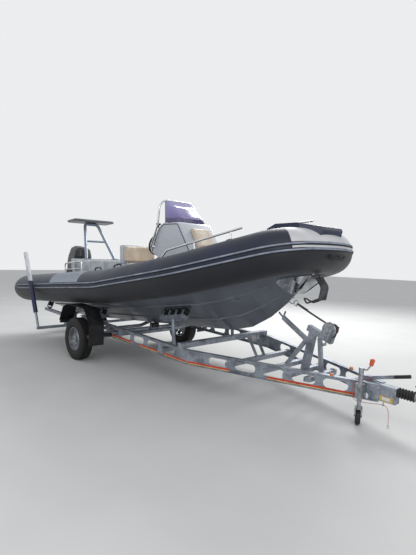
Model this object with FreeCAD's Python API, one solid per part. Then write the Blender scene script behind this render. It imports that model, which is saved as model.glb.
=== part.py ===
import FreeCAD, Part
import math
import os
from FreeCAD import Vector

# Inflatable rib boat on its braked roller trailer, parked on two road wheels and a jockey wheel.
# Millimetres. +X runs to the bow and the coupling, +Y to port, +Z up, and z = 0 is the ground.
# Three frames are used. The boat is drawn level, with x from the transom and z from the keel line,
# and laid on its rollers by laid(). The chassis is drawn level about the axle line and tipped by
# hitched(). Both then share the ground frame, whose x = 0 lies under the middle of the whole thing.

# How boat and chassis sit

BOAT_TRIM = 4.0             # degrees, bow up
CHASSIS_TRIM = 2.2          # degrees, coupling down
TRANSOM_AFT_OF_AXLE = 1850.0
KEEL_OVER_GROUND = 390.0    # keel line at the transom
HUB_HEIGHT = 325.0
SEAT_GAP = 0.3              # between curved faces that rest on each other

# Inflated collar

TUBE_R = 248.0
TUBE_AXIS_Y = 950.0
CONE_LENGTH = 620.0
CONE_TIP_R = 70.0
COLLAR_AFT_X = -330.0
STRAKE_R = 14.0
STRAKE_HEIGHTS = (62.0, 0.0)

# Half route of the collar's axis, from the stern to the bow: x, y, z, bend radius
COLLAR_HALF = (
    (COLLAR_AFT_X, TUBE_AXIS_Y, 603.0, 0.0),
    (2560.0, TUBE_AXIS_Y, 603.0, 3000.0),
    (4160.0, 900.0, 735.0, 2000.0),
    (5360.0, 530.0, 955.0, 330.0),
)
COLLAR_NOSE = (5500.0, 0.0, 960.0, 1200.0)

# Hull

TRANSOM_T = 60.0
TRANSOM_H = 600.0
SOLE_Z = 420.0
SOLE_T = 4.0
KEEL_RISE_X = 4130.0
STEM_X = 5410.0
STEM_RISE = 720.0

# Hull stations: x, chine half beam, chine z, top half beam, top z
HULL_STATIONS = (
    (0.0, 800.0, 365.0, 930.0, TRANSOM_H),
    (2560.0, 800.0, 368.0, 930.0, 605.0),
    (3460.0, 785.0, 430.0, 915.0, 678.0),
    (4160.0, 735.0, 492.0, 880.0, 735.0),
    (4510.0, 640.0, 552.0, 790.0, 799.0),
    (4810.0, 520.0, 610.0, 700.0, 854.0),
    (5060.0, 385.0, 655.0, 610.0, 900.0),
    (5260.0, 235.0, 695.0, 520.0, 937.0),
    (5410.0, 60.0, 735.0, 400.0, 948.0),
)
SPRAY_RAILS = (0.36, 0.78)  # share of the way from keel to chine
SPRAY_RAIL_W = 0.05
SPRAY_RAIL_DROP = 14.0

# Half plan of the cockpit inside the coaming: x, half beam
COCKPIT_HALF = (
    (TRANSOM_T, 650.0),
    (2900.0, 650.0),
    (4060.0, 590.0),
    (4660.0, 420.0),
)

# Boat furniture: x and z are in the boat's frame

CONSOLE_X = 2690.0
CONSOLE_W = 560.0
CONSOLE_FRONT_X = 3470.0
CONSOLE_TOP_Z = 1420.0
CONSOLE_FACE_RAKE = 60.0     # how far the front face leans aft up to its brow
CONSOLE_BROW = 160.0         # brow below the top
PAD_TOP_Z = 1235.0           # forward backrest pad
PAD_H = 380.0
PAD_T = 70.0
SCREEN_T = 6.0
SCREEN_H = 300.0
HOOP_R = 14.0
# Half of the hoop round the screen, from its foot on the console's side: x, y, z
HOOP_HALF = ((3225.0, None, 1235.0), (3215.0, 385.0, 1262.0), (3143.0, 415.0, 1514.0), (3062.0, 339.0, 1860.0))

HELM_SEAT_X = 2010.0
HELM_SEAT_W = 640.0
HELM_SEAT_L = 420.0
HELM_SEAT_Z = 880.0
CUSHION_T = 90.0
HELM_BACK_T = 130.0
HELM_BACK_H = 300.0

BENCH_X = 645.0
BENCH_L = 520.0
BENCH_W = 1180.0
BENCH_Z = 780.0
BENCH_BACK_T = 75.0          # thickness of the back at its top
BENCH_BACK_FOOT = 120.0      # and where it meets the seat
BENCH_PAD_T = 60.0
BENCH_BACK_H = 340.0

WHEEL_RIM_R = 175.0
WHEEL_RIM_TUBE_R = 15.0
WHEEL_SHAFT_R = 10.0
WHEEL_TILT = 25.0
WHEEL_X = 2560.0
WHEEL_Z = 1265.0

TOWER_TUBE_R = 28.0
TOWER_FOOT = (690.0, 300.0)   # x and y on top of the bench's back
TOWER_HEAD = (330.0, 135.0, 1830.0)
STERN_RAIL = (590.0, 1240.0, 920.0, 1040.0)   # x of both ends, z of both bars
GRIP_X = (1250.0, 2215.0, 2750.0)
GRIP_L = 200.0
WING_L = 360.0
WING_W = 860.0
WING_T = 46.0

# Outboard motor: upright about the tilt tube, then trimmed up by ENGINE_TRIM
ENGINE_TRIM = 12.0
TILT_X = -45.0
TILT_Z = 655.0
TILT_PIN_R = 16.0
CLAMP_GAP = 260.0
CLAMP_T = 22.0
STEER_X = -150.0
STEER_R = 22.0
PIN_GAP = 0.05
COWL_W = 400.0
COWL_BASE_Z = 760.0
# Sections of the cowl: height, front, back, width
COWL_SECTIONS = (
    (COWL_BASE_Z, -52.0, -560.0, 0.78 * COWL_W),
    (835.0, -36.0, -625.0, 0.97 * COWL_W),
    (1040.0, -34.0, -640.0, COWL_W),
    (1225.0, -46.0, -610.0, 0.94 * COWL_W),
    (1340.0, -84.0, -540.0, 0.78 * COWL_W),
    (1385.0, -150.0, -455.0, 0.46 * COWL_W),
)
COWL_SEAM = (868.0, 6.0, 5.0)   # height, width and depth of the groove where the cover lifts off
INTAKE = (1180.0, 1265.0, 9.0)  # low and high edge and depth of the air scoop round the back
PLATE_Z = -20.0
PROP_Z = -190.0
PROP_R = 150.0
PROP_SHAFT_R = 14.0
GEARCASE_R = 52.0

# Chassis, in its own frame: x from the axle, z from the hub line
RAIL_TOP = 280.0
RAIL_DEPTH = 175.0
RAIL_FLANGE_W = 60.0
RAIL_FLANGE_T = 9.0
RAIL_WEB_T = 8.0
RAIL_TO_WHEEL = 260.0           # from a beam's web to the middle of its tyre
TRACK_HALF = 1050.0
RAIL_Y = TRACK_HALF - RAIL_TO_WHEEL
RAIL_ROUTE = ((-430.0, RAIL_Y), (2290.0, RAIL_Y), (4310.0, 45.0))
SLOT_L = 250.0
SLOT_H = 95.0
SLOT_PITCH = 330.0
DRAWBAR_FRONT = 4470.0
DRAWBAR_W = 90.0
CROSS_W = 70.0
CROSS_D = 60.0
OVER_CROSS_X = 2180.0
DROPPED_R = 30.0
DROPPED_FLAT = 0.42             # share of the half width over which a dropped tube is level
STAND_R = 24.0
# Dropped cross tubes between the beams: x, z at the webs, z in the middle
DROPPED = (
    (-330.0, 160.0, 24.0),
    (520.0, 150.0, 110.0),
    (1760.0, 160.0, 160.0),
)
REAR_ARM_END = -1980.0
REAR_ARM_Z = 145.0
REAR_ARM_W = 50.0
REAR_BAR_X = -1075.0
REAR_BAR_Z = -8.0

ROLLER_R = 45.0
ROLLER_W = 76.0
ROLLER_PITCH = 140.0
ROLLER_PIN_R = 10.0
CRADLE_Y = 500.0
# Side cradles: x in the boat's frame, and x of the chassis tube that carries them
CRADLES = ((1480.0, -330.0), (3600.0, 1760.0))
TRANSOM_ROLLER = (60.0, RAIL_Y - 75.0)  # x and y of the single roller under each end of the transom

GUIDE_FOOT_Y = 1256.0
GUIDE_TOP = (-1690.0, 1640.0)   # in the ground frame about the axle
GUIDE_TUBE_R = 20.0
SLEEVE_R = 36.0
SLEEVE_BASE = 0.2               # share of the post that stays bare at its foot

# Winch post, in the chassis frame: x, z of both ends, size along and across
POST_BARS = (
    (3425.0, 190.0, 3505.0, 650.0, 80.0, 60.0),
    (3168.0, 190.0, 3440.0, 560.0, 40.0, 40.0),
    (3640.0, 190.0, 3590.0, 590.0, 40.0, 40.0),
    (3440.0, 682.0, 3745.0, 580.0, 66.0, 66.0),
    (3490.0, 500.0, 3085.0, 737.0, 44.0, 44.0),
)
POST_TIES = (3168.0, 3425.0, 3640.0)
TIE_W = 60.0
TIE_D = 50.0
WINCH_X = 3680.0
DRUM_H = 74.0                   # drum axis over the arm
DRUM_R = 34.0
STRAP_W = 50.0
STRAP_T = 3.0
MARKER_X = 3880.0
STEM_PLATE = ((5118.0, 653.0), (5382.0, 694.0), (5420.0, 700.0), (5290.0, 560.0), (5170.0, 470.0),
              (5110.0, 529.0))
EYE_BAR = ((42.0, 20.0), (10.0, -40.0))   # both corners of its U, from that middle
BOW_EYE = (5120.0, 405.0)   # middle of the bow eye's bar, in the boat's frame
KEEL_ROLLER_R = 44.0
KEEL_ROLLER_W = 130.0
ROLLER_WAIST = 0.88
# Centre rollers: x of the keel point in the boat's frame, drop below the keel
KEEL_ROLLERS = ((706.0, 1.0), (2400.0, 1.0), (4510.0, 100.0))
FRONT_STAND_X = 2787.0          # foot of the front roller's leaning stand, in the chassis frame

TYRE_R = 325.0
TYRE_W = 195.0
RIM_R = 178.0
STUB_R = 17.0
# Mudguard: outline over the tyre from the front skirt to the turned-in rear edge, about the hub
GUARD_OUTLINE = ((560.0, 0.0), (560.0, 300.0), (370.0, 526.0), (-180.0, 526.0), (-335.0, 462.0),
                 (-455.0, 225.0), (-385.0, 225.0))
GUARD_BENDS = (90.0, 110.0, 90.0, 80.0, 12.0)
GUARD_T = 5.0
GUARD_W = 240.0
AXLE_X = 190.0
AXLE_R = 45.0

# Coupling and the fittings on the drawbar, in the chassis frame
SHAFT_Z = 232.0
BELLOWS_L = 165.0
BELLOWS_R = 52.0
BALL_R = 25.0
BALL_X = 4850.0
BALL_Z = 214.0
SOCKET_GAP = 0.5
LEVER_PIVOT = (4180.0, 300.0)
LEVER_TIP = (4572.0, 412.0)
LEVER_GRIP_L = 150.0

JOCKEY_X = 4170.0
JOCKEY_Y = -162.0
JOCKEY_TUBE_R = 24.0
JOCKEY_LEG_R = 19.0
JOCKEY_TUBE_LOW = 250.0         # height of the outer tube's lower end over the ground
JOCKEY_TUBE_TOP = 400.0         # its top, in the chassis frame
JOCKEY_WHEEL_R = 85.0
JOCKEY_WHEEL_W = 52.0
JOCKEY_AXLE_R = 8.0
JOCKEY_TRAIL = 60.0
JOCKEY_TURN = 116.5             # degrees from +X to the side on which the wheel trails

CABLE_R = 2.5
# Breakaway cable, in the chassis frame: from the brake lever over the starboard beam, under the
# drawbar to its guide ring, and down
CABLE_ROUTE = (
    (4226.0, -32.0, 300.0), (4206.0, -72.0, 303.0), (4172.0, -112.0, 310.0), (4130.0, -148.0, 300.0),
    (4106.0, -174.0, 258.0), (4100.0, -180.0, 205.0), (4102.0, -179.0, 150.0), (4110.0, -172.0, 97.0),
    (4140.0, -134.0, 74.0), (4184.0, -102.0, 68.0), (4232.0, -76.0, 69.0), (4282.0, -54.0, 74.0),
    (4330.0, -39.0, 80.0),
    (4376.0, -30.0, 78.0), (4402.0, -28.0, 44.0), (4408.0, -26.0, -8.0), (4411.0, -27.0, -58.0),
    (4413.0, -28.0, -98.0),
)
GUIDE_RING = (4352.0, -34.0, 82.0)

BOW_CHANNEL = ((5216.0, 478.0), (5300.0, 500.0), (5500.0, 628.0), (5480.0, 690.0), (5390.0, 700.0))
ANCHOR_SHANK = ((5262.0, 540.0), (5500.0, 668.0))
ANCHOR_FLUKE = ((5478.0, 665.0), (5545.0, 560.0), (5506.0, 420.0))

# Plain shapes


def box(x0, x1, y0, y1, z0, z1):
    return Part.makeBox(x1 - x0, y1 - y0, z1 - z0, Vector(x0, y0, z0))


def rod(start, end, radius):
    run = end - start
    return Part.makeCylinder(radius, run.Length, start, run)


def tube(start, end, outer, inner):
    return rod(start, end, outer).cut(rod(start, end, inner))


def both_sides(shape):
    """The shape and its mirror image across the centre line, as solids that don't touch."""
    return Part.makeCompound([shape, shape.mirror(Vector(), Vector(0, 1, 0))])


def mirrored(shape):
    return shape.mirror(Vector(), Vector(0, 1, 0))


def fused(shapes):
    whole = shapes[0].multiFuse(shapes[1:]) if len(shapes) > 1 else shapes[0]
    return whole.removeSplitter()


def side_profile(points, y0, y1):
    """An outline in x and z, extruded across the boat from y0 to y1."""
    corners = [Vector(x, y0, z) for x, z in points]
    return Part.Face(Part.makePolygon(corners + corners[:1])).extrude(Vector(0, y1 - y0, 0))


def plan_profile(points, z0, z1):
    """An outline in x and y, extruded upwards from z0 to z1."""
    corners = [Vector(x, y, z0) for x, y in points]
    return Part.Face(Part.makePolygon(corners + corners[:1])).extrude(Vector(0, 0, z1 - z0))


def softened(shape, radius, keep):
    """Round the edges that keep() picks by their middle point and direction."""
    picked = []
    for edge in shape.Edges:
        if isinstance(edge.Curve, (Part.Line, Part.LineSegment)):
            middle = edge.valueAt((edge.FirstParameter + edge.LastParameter) / 2)
            along = edge.tangentAt(edge.FirstParameter)
            if keep(middle, along):
                picked.append(edge)
    return shape.makeFillet(radius, picked)


def rounded_box(x0, x1, y0, y1, z0, z1, radius):
    block = box(x0, x1, y0, y1, z0, z1)
    return block.makeFillet(radius, block.Edges)


def route_wire(points, radii):
    """Straight runs joined by tangent arcs, one bend radius for each inner point."""
    edges = []
    start = points[0]
    for before, corner, after, radius in zip(points, points[1:], points[2:], radii):
        back = (before - corner).normalize()
        on = (after - corner).normalize()
        half = back.getAngle(on) / 2
        inward = (back + on).normalize()
        centre = corner + inward * (radius / math.sin(half))
        first = corner + back * (radius / math.tan(half))
        last = corner + on * (radius / math.tan(half))
        edges.append(Part.LineSegment(start, first).toShape())
        edges.append(Part.Arc(first, centre - inward * radius, last).toShape())
        start = last
    edges.append(Part.LineSegment(start, points[-1]).toShape())
    return Part.Wire(edges)


def bent_rod(points, radii, radius):
    path = route_wire(points, radii)
    ring = Part.Wire(Part.makeCircle(radius, points[0], points[1] - points[0]))
    return path.makePipe(Part.Face(ring))


def placed(shape, shift, turn_y):
    """Turn about the y axis (bow up is positive) and shift."""
    moved = shape.copy()
    moved.rotate(Vector(), Vector(0, 1, 0), -turn_y)
    moved.translate(shift)
    return moved


def laid(shape):
    """From the boat's frame to the ground frame about the axle."""
    return placed(shape, Vector(-TRANSOM_AFT_OF_AXLE, 0, KEEL_OVER_GROUND), BOAT_TRIM)


def hitched(shape):
    """From the chassis frame to the ground frame about the axle."""
    return placed(shape, Vector(0, 0, HUB_HEIGHT), -CHASSIS_TRIM)


# Collar

def collar_route(out=0.0, up=0.0):
    """Points and bend radii of the collar's axis, moved outwards in plan and upwards."""
    half = list(COLLAR_HALF)
    rows = half + [COLLAR_NOSE] + [(x, -y, z, r) for x, y, z, r in reversed(half)]
    points = [Vector(x, y, z) for x, y, z, _ in rows]
    moved = []
    for index, point in enumerate(points):
        before = points[max(index - 1, 0)]
        after = points[min(index + 1, len(points) - 1)]
        normals = []
        for a, b in ((before, point), (point, after)):
            if a != b:
                normals.append(Vector(-(b.y - a.y), b.x - a.x, 0).normalize())
        mitre = normals[0] + normals[-1]
        mitre = mitre * (2 / mitre.Length ** 2)
        moved.append(point + mitre * out + Vector(0, 0, up))
    radii = [row[3] + out for row in rows[1:-1]]
    return moved, radii


def collar_top(x):
    """Highest point of the port tube over x, along its two aft runs."""
    bend, fore = COLLAR_HALF[1], COLLAR_HALF[2]
    share = max(x - bend[0], 0.0) / (fore[0] - bend[0])
    return Vector(x, bend[1] + (fore[1] - bend[1]) * share, bend[2] + (fore[2] - bend[2]) * share + TUBE_R)


def collar_cone(radius, length, tip_radius):
    """Stern cone of one side tube, pointing aft from the straight tube to a small flat cap."""
    start = Vector(COLLAR_AFT_X, TUBE_AXIS_Y, COLLAR_HALF[0][2])
    bulge = radius * 0.86
    shoulder = Vector(-length + tip_radius * 0.5, tip_radius, 0)
    cap = Vector(-length, tip_radius * 0.4, 0)
    outline = [
        Part.LineSegment(Vector(0, 0, 0), Vector(0, radius, 0)).toShape(),
        Part.Arc(Vector(0, radius, 0), Vector(-length * 0.5, bulge, 0), shoulder).toShape(),
        Part.Arc(shoulder, Vector(-length + tip_radius * 0.12, tip_radius * 0.76, 0), cap).toShape(),
        Part.LineSegment(cap, Vector(-length, 0, 0)).toShape(),
        Part.LineSegment(Vector(-length, 0, 0), Vector(0, 0, 0)).toShape(),
    ]
    cone = Part.Face(Part.Wire(outline)).revolve(Vector(), Vector(1, 0, 0), 360)
    cone.translate(start)
    return cone


def collar(grow=0.0):
    points, radii = collar_route()
    pipe = bent_rod(points, radii, TUBE_R + grow)
    cone = collar_cone(TUBE_R + grow, CONE_LENGTH + grow, CONE_TIP_R)
    return fused([pipe, cone, mirrored(cone)])


def collar_nose(grow):
    """The collar's run round the bow, from one forward side run to the other."""
    points, radii = collar_route()
    return bent_rod(points[2:7], radii[2:5], TUBE_R + grow)


def rub_strakes(clearance):
    """Two half-round rubber strips bonded along the outside of the collar."""
    strips = []
    for height in STRAKE_HEIGHTS:
        out = math.sqrt(TUBE_R ** 2 - height ** 2)
        points, radii = collar_route(out, height)
        strips.append(bent_rod(points, radii, STRAKE_R).cut(clearance))
    return Part.makeCompound(strips)


# Hull

def keel_z(x):
    share = max(x - KEEL_RISE_X, 0.0) / (STEM_X - KEEL_RISE_X)
    return STEM_RISE * share ** 2


def hull_section(row):
    x, chine_y, chine_z, top_y, top_z = row
    corners = [Vector(x, 0, keel_z(x)), Vector(x, chine_y, chine_z), Vector(x, top_y, top_z),
               Vector(x, -top_y, top_z), Vector(x, -chine_y, chine_z)]
    return Part.makePolygon(corners + corners[:1])


def spray_rail(share):
    """A three-sided strip down one side of the bottom, at a share of the way to the chine."""
    sections = []
    for x, chine_y, chine_z, _, _ in HULL_STATIONS[:-2]:
        low = keel_z(x)
        inner, outer = share - SPRAY_RAIL_W, share
        rise = chine_z - low
        corners = [Vector(x, inner * chine_y, low + inner * rise + 2),
                   Vector(x, outer * chine_y, low + outer * rise - SPRAY_RAIL_DROP),
                   Vector(x, outer * chine_y, low + outer * rise + 2)]
        sections.append(Part.makePolygon(corners + corners[:1]))
    return Part.makeLoft(sections, True, True)


def cockpit(z0, z1, inset=0.0):
    half = [(x, y - inset) for x, y in COCKPIT_HALF]
    half[0] = (COCKPIT_HALF[0][0] + inset, COCKPIT_HALF[0][1] - inset)
    half[-1] = (COCKPIT_HALF[-1][0] - inset, COCKPIT_HALF[-1][1] - inset)
    return plan_profile(half + [(x, -y) for x, y in reversed(half)], z0, z1)


def hull(clearance):
    body = Part.makeLoft([hull_section(row) for row in HULL_STATIONS], True, True)
    rails = [spray_rail(share) for share in SPRAY_RAILS]
    body = fused([body] + rails + [mirrored(rail) for rail in rails])
    body = body.cut(clearance).cut(cockpit(SOLE_Z, 1500.0))
    return max(body.Solids, key=lambda solid: solid.Volume)


def sole():
    """Anti-slip sheet that covers the cockpit floor."""
    return cockpit(SOLE_Z, SOLE_Z + SOLE_T, 12.0)


# Console and its fittings

def console():
    half = CONSOLE_W / 2
    outline = [(CONSOLE_X, SOLE_Z + SOLE_T), (CONSOLE_FRONT_X, SOLE_Z + SOLE_T),
               (CONSOLE_FRONT_X - CONSOLE_FACE_RAKE, CONSOLE_TOP_Z - CONSOLE_BROW),
               (CONSOLE_FRONT_X - 190, CONSOLE_TOP_Z),
               (CONSOLE_X + 260, CONSOLE_TOP_Z), (CONSOLE_X + 60, CONSOLE_TOP_Z - 190),
               (CONSOLE_X + 110, CONSOLE_TOP_Z - 330), (CONSOLE_X, CONSOLE_TOP_Z - 420)]
    body = side_profile(outline, -half, half)
    return softened(body, 30, lambda middle, along: middle.z > SOLE_Z + 50 and abs(middle.y) > half - 1)


def windscreen():
    """Bent acrylic sheet, raked aft, standing round the front of the console's top."""
    half = CONSOLE_W / 2 - 20
    front = CONSOLE_FRONT_X - 215
    back = front - 330
    outer = [(back, half), (front - 60, half), (front, half - 90), (front, -half + 90),
             (front - 60, -half), (back, -half)]
    t = SCREEN_T
    inner = [(back, -half + t), (front - 60 - t * 0.4, -half + t), (front - t, -half + 90 + t * 0.4),
             (front - t, half - 90 - t * 0.4), (front - 60 - t * 0.4, half - t), (back, half - t)]
    sheet = plan_profile(outer + inner, 0, SCREEN_H + 60)
    rake = FreeCAD.Matrix()
    rake.A13 = -0.42
    sheet = sheet.transformGeometry(rake)
    sheet.translate(Vector(0, 0, CONSOLE_TOP_Z))
    trim = side_profile([(back - 400, CONSOLE_TOP_Z), (front + 50, CONSOLE_TOP_Z),
                         (front + 50, CONSOLE_TOP_Z + SCREEN_H),
                         (front - 240, CONSOLE_TOP_Z + SCREEN_H),
                         (back - 120, CONSOLE_TOP_Z + SCREEN_H * 0.45)], -400, 400)
    return sheet.common(trim)


def console_hoop():
    """Stainless grab rail that goes up one side of the console, over the screen and down."""
    side = CONSOLE_W / 2
    half = [Vector(x, side if y is None else y, z) for x, y, z in HOOP_HALF]
    points = half + [Vector(p.x, -p.y, p.z) for p in reversed(half)]
    return bent_rod(points, [20, 60, 70, 70, 60, 20], HOOP_R)


def console_pad():
    """Backrest pad of the forward seat, on the console's front face."""
    half = CONSOLE_W / 2 - 60
    rise = CONSOLE_TOP_Z - CONSOLE_BROW - SOLE_Z - SOLE_T
    lean = math.atan2(CONSOLE_FACE_RAKE, rise)
    foot_z = PAD_TOP_Z - PAD_H
    pad = rounded_box(SEAT_GAP, PAD_T, -half, half, 0, PAD_H, 25)
    pad.rotate(Vector(), Vector(0, 1, 0), -math.degrees(lean))
    pad.translate(Vector(CONSOLE_FRONT_X - (foot_z - SOLE_Z - SOLE_T) * math.tan(lean), 0, foot_z))
    return pad


def console_seat():
    """Moulded locker seat in front of the console."""
    half = CONSOLE_W / 2 - 40
    outline = [(CONSOLE_FRONT_X + SEAT_GAP, SOLE_Z + SOLE_T), (CONSOLE_FRONT_X + 330, SOLE_Z + SOLE_T),
               (CONSOLE_FRONT_X + 300, SOLE_Z + 330), (CONSOLE_FRONT_X + SEAT_GAP, SOLE_Z + 330)]
    return side_profile(outline, -half, half)


def console_squab():
    half = CONSOLE_W / 2 - 50
    z = SOLE_Z + 330
    return rounded_box(CONSOLE_FRONT_X + 10, CONSOLE_FRONT_X + 310, -half, half,
                       z + SEAT_GAP, z + 70, 22)


def wheel_axis():
    lean = math.radians(WHEEL_TILT)
    return Vector(-math.cos(lean), 0, math.sin(lean))


def steering_wheel():
    centre = Vector(WHEEL_X, 0, WHEEL_Z)
    axis = wheel_axis()
    rim = Part.makeTorus(WHEEL_RIM_R, WHEEL_RIM_TUBE_R, centre, axis)
    boss = rod(centre - axis * 40, centre + axis * 18, 38)
    across = Vector(0, 1, 0)
    down = axis.cross(across)
    spokes = []
    for angle in (90.0, 210.0, 330.0):
        turn = math.radians(angle)
        arm = across * math.cos(turn) + down * math.sin(turn)
        spokes.append(rod(centre + arm * 20 - axis * 8, centre + arm * WHEEL_RIM_R, 11))
    wheel = fused([rim, boss] + spokes)
    return wheel.cut(rod(centre - axis * 60, centre - axis * 5, WHEEL_SHAFT_R + PIN_GAP))


def steering_shaft():
    """Helm shaft with its bezel, from the console's aft face into the wheel's boss."""
    centre = Vector(WHEEL_X, 0, WHEEL_Z)
    axis = wheel_axis()
    helm = rod(centre - axis * 190, centre - axis * 50, 45)
    shaft = rod(centre - axis * 60, centre - axis * 8, WHEEL_SHAFT_R)
    return fused([helm, shaft]).cut(console())


def throttle():
    """Side-mount control box with its lever, on the console's starboard side."""
    y = -CONSOLE_W / 2
    x = CONSOLE_X + 190
    z = CONSOLE_TOP_Z - 150
    case = rounded_box(x - 60, x + 60, y - 55, y - SEAT_GAP, z - 80, z + 40, 14)
    lever = bent_rod([Vector(x, y - 45, z), Vector(x + 30, y - 75, z + 110), Vector(x + 30, y - 75, z + 165)],
                     [40], 11)
    knob = rod(Vector(x + 30, y - 105, z + 165), Vector(x + 30, y - 40, z + 165), 17)
    return fused([case, lever, knob])


# Seats

def helm_seat():
    half = HELM_SEAT_W / 2 - 20
    x0, x1 = HELM_SEAT_X, HELM_SEAT_X + HELM_SEAT_L
    outline = [(x0 + 40, SOLE_Z + SOLE_T), (x1 - 60, SOLE_Z + SOLE_T), (x1, HELM_SEAT_Z - 120),
               (x1, HELM_SEAT_Z), (x0, HELM_SEAT_Z), (x0, HELM_SEAT_Z - 120)]
    pod = side_profile(outline, -half, half)
    frame = []
    for y in (-half + 60, half - 60):
        frame.append(rod(Vector(x0 + 24, y, HELM_SEAT_Z - 6), Vector(x0 - 40, y, HELM_SEAT_Z + 250), 16))
    return fused([softened(pod, 25, lambda m, a: m.z > HELM_SEAT_Z - 200 and abs(m.y) > half - 1)] + frame)


def helm_cushions():
    half = HELM_SEAT_W / 2
    x0, x1 = HELM_SEAT_X, HELM_SEAT_X + HELM_SEAT_L
    squab = rounded_box(x0 + 60, x1 + 15, -half, half, HELM_SEAT_Z + SEAT_GAP,
                        HELM_SEAT_Z + CUSHION_T, 30)
    back = rounded_box(x0 - 75, x0 - 75 + HELM_BACK_T, -half, half, HELM_SEAT_Z + CUSHION_T + 15,
                       HELM_SEAT_Z + CUSHION_T + 15 + HELM_BACK_H, 38)
    tubes = []
    for y in (-half + 80, half - 80):
        tubes.append(rod(Vector(x0 + 24, y, HELM_SEAT_Z - 6), Vector(x0 - 60, y, HELM_SEAT_Z + 330), 17))
    return Part.makeCompound([squab, back.cut(fused(tubes))])


def bench():
    half = BENCH_W / 2
    outline = [(BENCH_X, SOLE_Z + SOLE_T), (BENCH_X + BENCH_L - 50, SOLE_Z + SOLE_T),
               (BENCH_X + BENCH_L, BENCH_Z), (BENCH_X + BENCH_BACK_FOOT, BENCH_Z),
               (BENCH_X + BENCH_BACK_T, BENCH_Z + BENCH_BACK_H), (BENCH_X, BENCH_Z + BENCH_BACK_H)]
    return softened(side_profile(outline, -half, half), 25,
                    lambda m, a: m.z > BENCH_Z - 10 and abs(m.y) > half - 1)


def bench_cushions():
    half = BENCH_W / 2 - 20
    lean = math.degrees(math.atan2(BENCH_BACK_FOOT - BENCH_BACK_T, BENCH_BACK_H))
    squab = rounded_box(BENCH_X + BENCH_BACK_FOOT + BENCH_PAD_T + 8, BENCH_X + BENCH_L + 10, -half, half,
                        BENCH_Z + SEAT_GAP, BENCH_Z + CUSHION_T, 30)
    back = rounded_box(SEAT_GAP, BENCH_PAD_T, -half, half, 12, BENCH_BACK_H - 6, 24)
    back.rotate(Vector(), Vector(0, 1, 0), -lean)
    back.translate(Vector(BENCH_X + BENCH_BACK_FOOT, 0, BENCH_Z))
    return Part.makeCompound([squab, back])


# Tower, ladder and deck hardware

def tower():
    """Raked hoop of large tube that carries the wing, with a cross bar, on the bench's back."""
    top_z = BENCH_Z + BENCH_BACK_H
    foot = Vector(TOWER_FOOT[0], TOWER_FOOT[1], top_z)
    head = Vector(*TOWER_HEAD)
    sunk = foot - (head - foot) * 0.1
    points = [sunk, head, Vector(head.x, -head.y, head.z), Vector(sunk.x, -sunk.y, sunk.z)]
    hoop = bent_rod(points, [70, 70], TOWER_TUBE_R)
    mid = foot + (head - foot) * 0.5
    bar = rod(Vector(mid.x, -mid.y, mid.z), mid, TOWER_TUBE_R * 0.7)
    flange = TOWER_TUBE_R + 10
    plates = [box(foot.x - flange, foot.x + flange, side * foot.y - 60, side * foot.y + 60,
                  top_z, top_z + 10) for side in (-1, 1)]
    under = box(foot.x - 400, foot.x + 400, -900, 900, top_z - 300, top_z)
    return fused([hoop, bar] + plates).cut(under)


def tower_wing():
    """Flat moulded wing on top of the tower, with rounded edges."""
    z = TOWER_HEAD[2] + TOWER_TUBE_R + SEAT_GAP
    x = TOWER_HEAD[0]
    board = box(x - WING_L / 2, x + WING_L / 2, -WING_W / 2, WING_W / 2, z, z + WING_T)
    upright = [edge for edge in board.Edges if abs(edge.tangentAt(0).z) > 0.9]
    board = board.makeFillet(60, upright)
    rim = [edge for edge in board.Edges if abs(edge.CenterOfMass.z - z - WING_T) < 1 or
           abs(edge.CenterOfMass.z - z) < 1]
    return board.makeFillet(18, rim)


def handrails():
    """Low stainless side rail on each tube, open at its forward end, on two stanchions."""
    start, on = Vector(3820, 911, 706 + TUBE_R), Vector(5020, 650, 893 + TUBE_R)
    run = on - start
    rise = 95.0
    points = [start - Vector(0, 0, 6), start + run * 0.08 + Vector(0, 0, rise * 0.8),
              start + run * 0.95 + Vector(0, 0, rise)]
    rail = bent_rod(points, [90], 12.5)
    posts = []
    for share in (0.42, 0.83):
        base = start + run * share
        posts.append(rod(base - Vector(0, 0, 8), base + Vector(0, 0, rise - 4), 10))
    return fused([rail] + posts)


def stern_rails():
    """Stainless side rail beside the bench, on four feet on the coaming, with a lower bar."""
    y = COCKPIT_HALF[0][1] + 26
    aft, fore, low, top = STERN_RAIL
    points = [Vector(aft, y, TRANSOM_H + 2), Vector(aft, y, top), Vector(fore, y, top),
              Vector(fore, y, TRANSOM_H + 5)]
    bar = rod(Vector(aft, y, low), Vector(fore, y, low), 10)
    return both_sides(fused([bent_rod(points, [60, 60], 12.5), bar]))


def bow_step():
    """Moulded cap on the bow tube: a pad that carries the anchor rope over the nose."""
    nose = COLLAR_NOSE
    top = nose[2] + TUBE_R
    outline = [(nose[0] - 470, top - 60), (nose[0] - 470, top + 22), (nose[0] - 350, top + 66),
               (nose[0] - 60, top + 48), (nose[0] + 150, top - 8), (nose[0] + 172, top - 42),
               (nose[0] + 150, top - 70), (nose[0] + 120, top - 160), (nose[0] - 470, top - 160)]
    pad = side_profile(outline, -330, 330)
    crown = [(nose[0] - 480, -340), (nose[0] - 480, 340), (nose[0] - 40, 330), (nose[0] + 175, 190),
             (nose[0] + 175, -190), (nose[0] - 40, -330)]
    pad = pad.common(plan_profile(crown, top - 200, top + 200))
    return pad


def grab_handles():
    """Moulded rubber grips on the side tubes: a low arch with a pad at each end."""
    grips = []
    up = Vector(0, 0, 1)
    for x in GRIP_X:
        start, end = collar_top(x), collar_top(x + GRIP_L)
        points = [start - up * 8, start + Vector(25, 0, 38), end + Vector(-25, 0, 38), end - up * 8]
        grips.append(bent_rod(points, [25, 25], 10))
    return Part.makeCompound(grips)


# Outboard motor, drawn upright and then trimmed about the tilt tube

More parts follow.
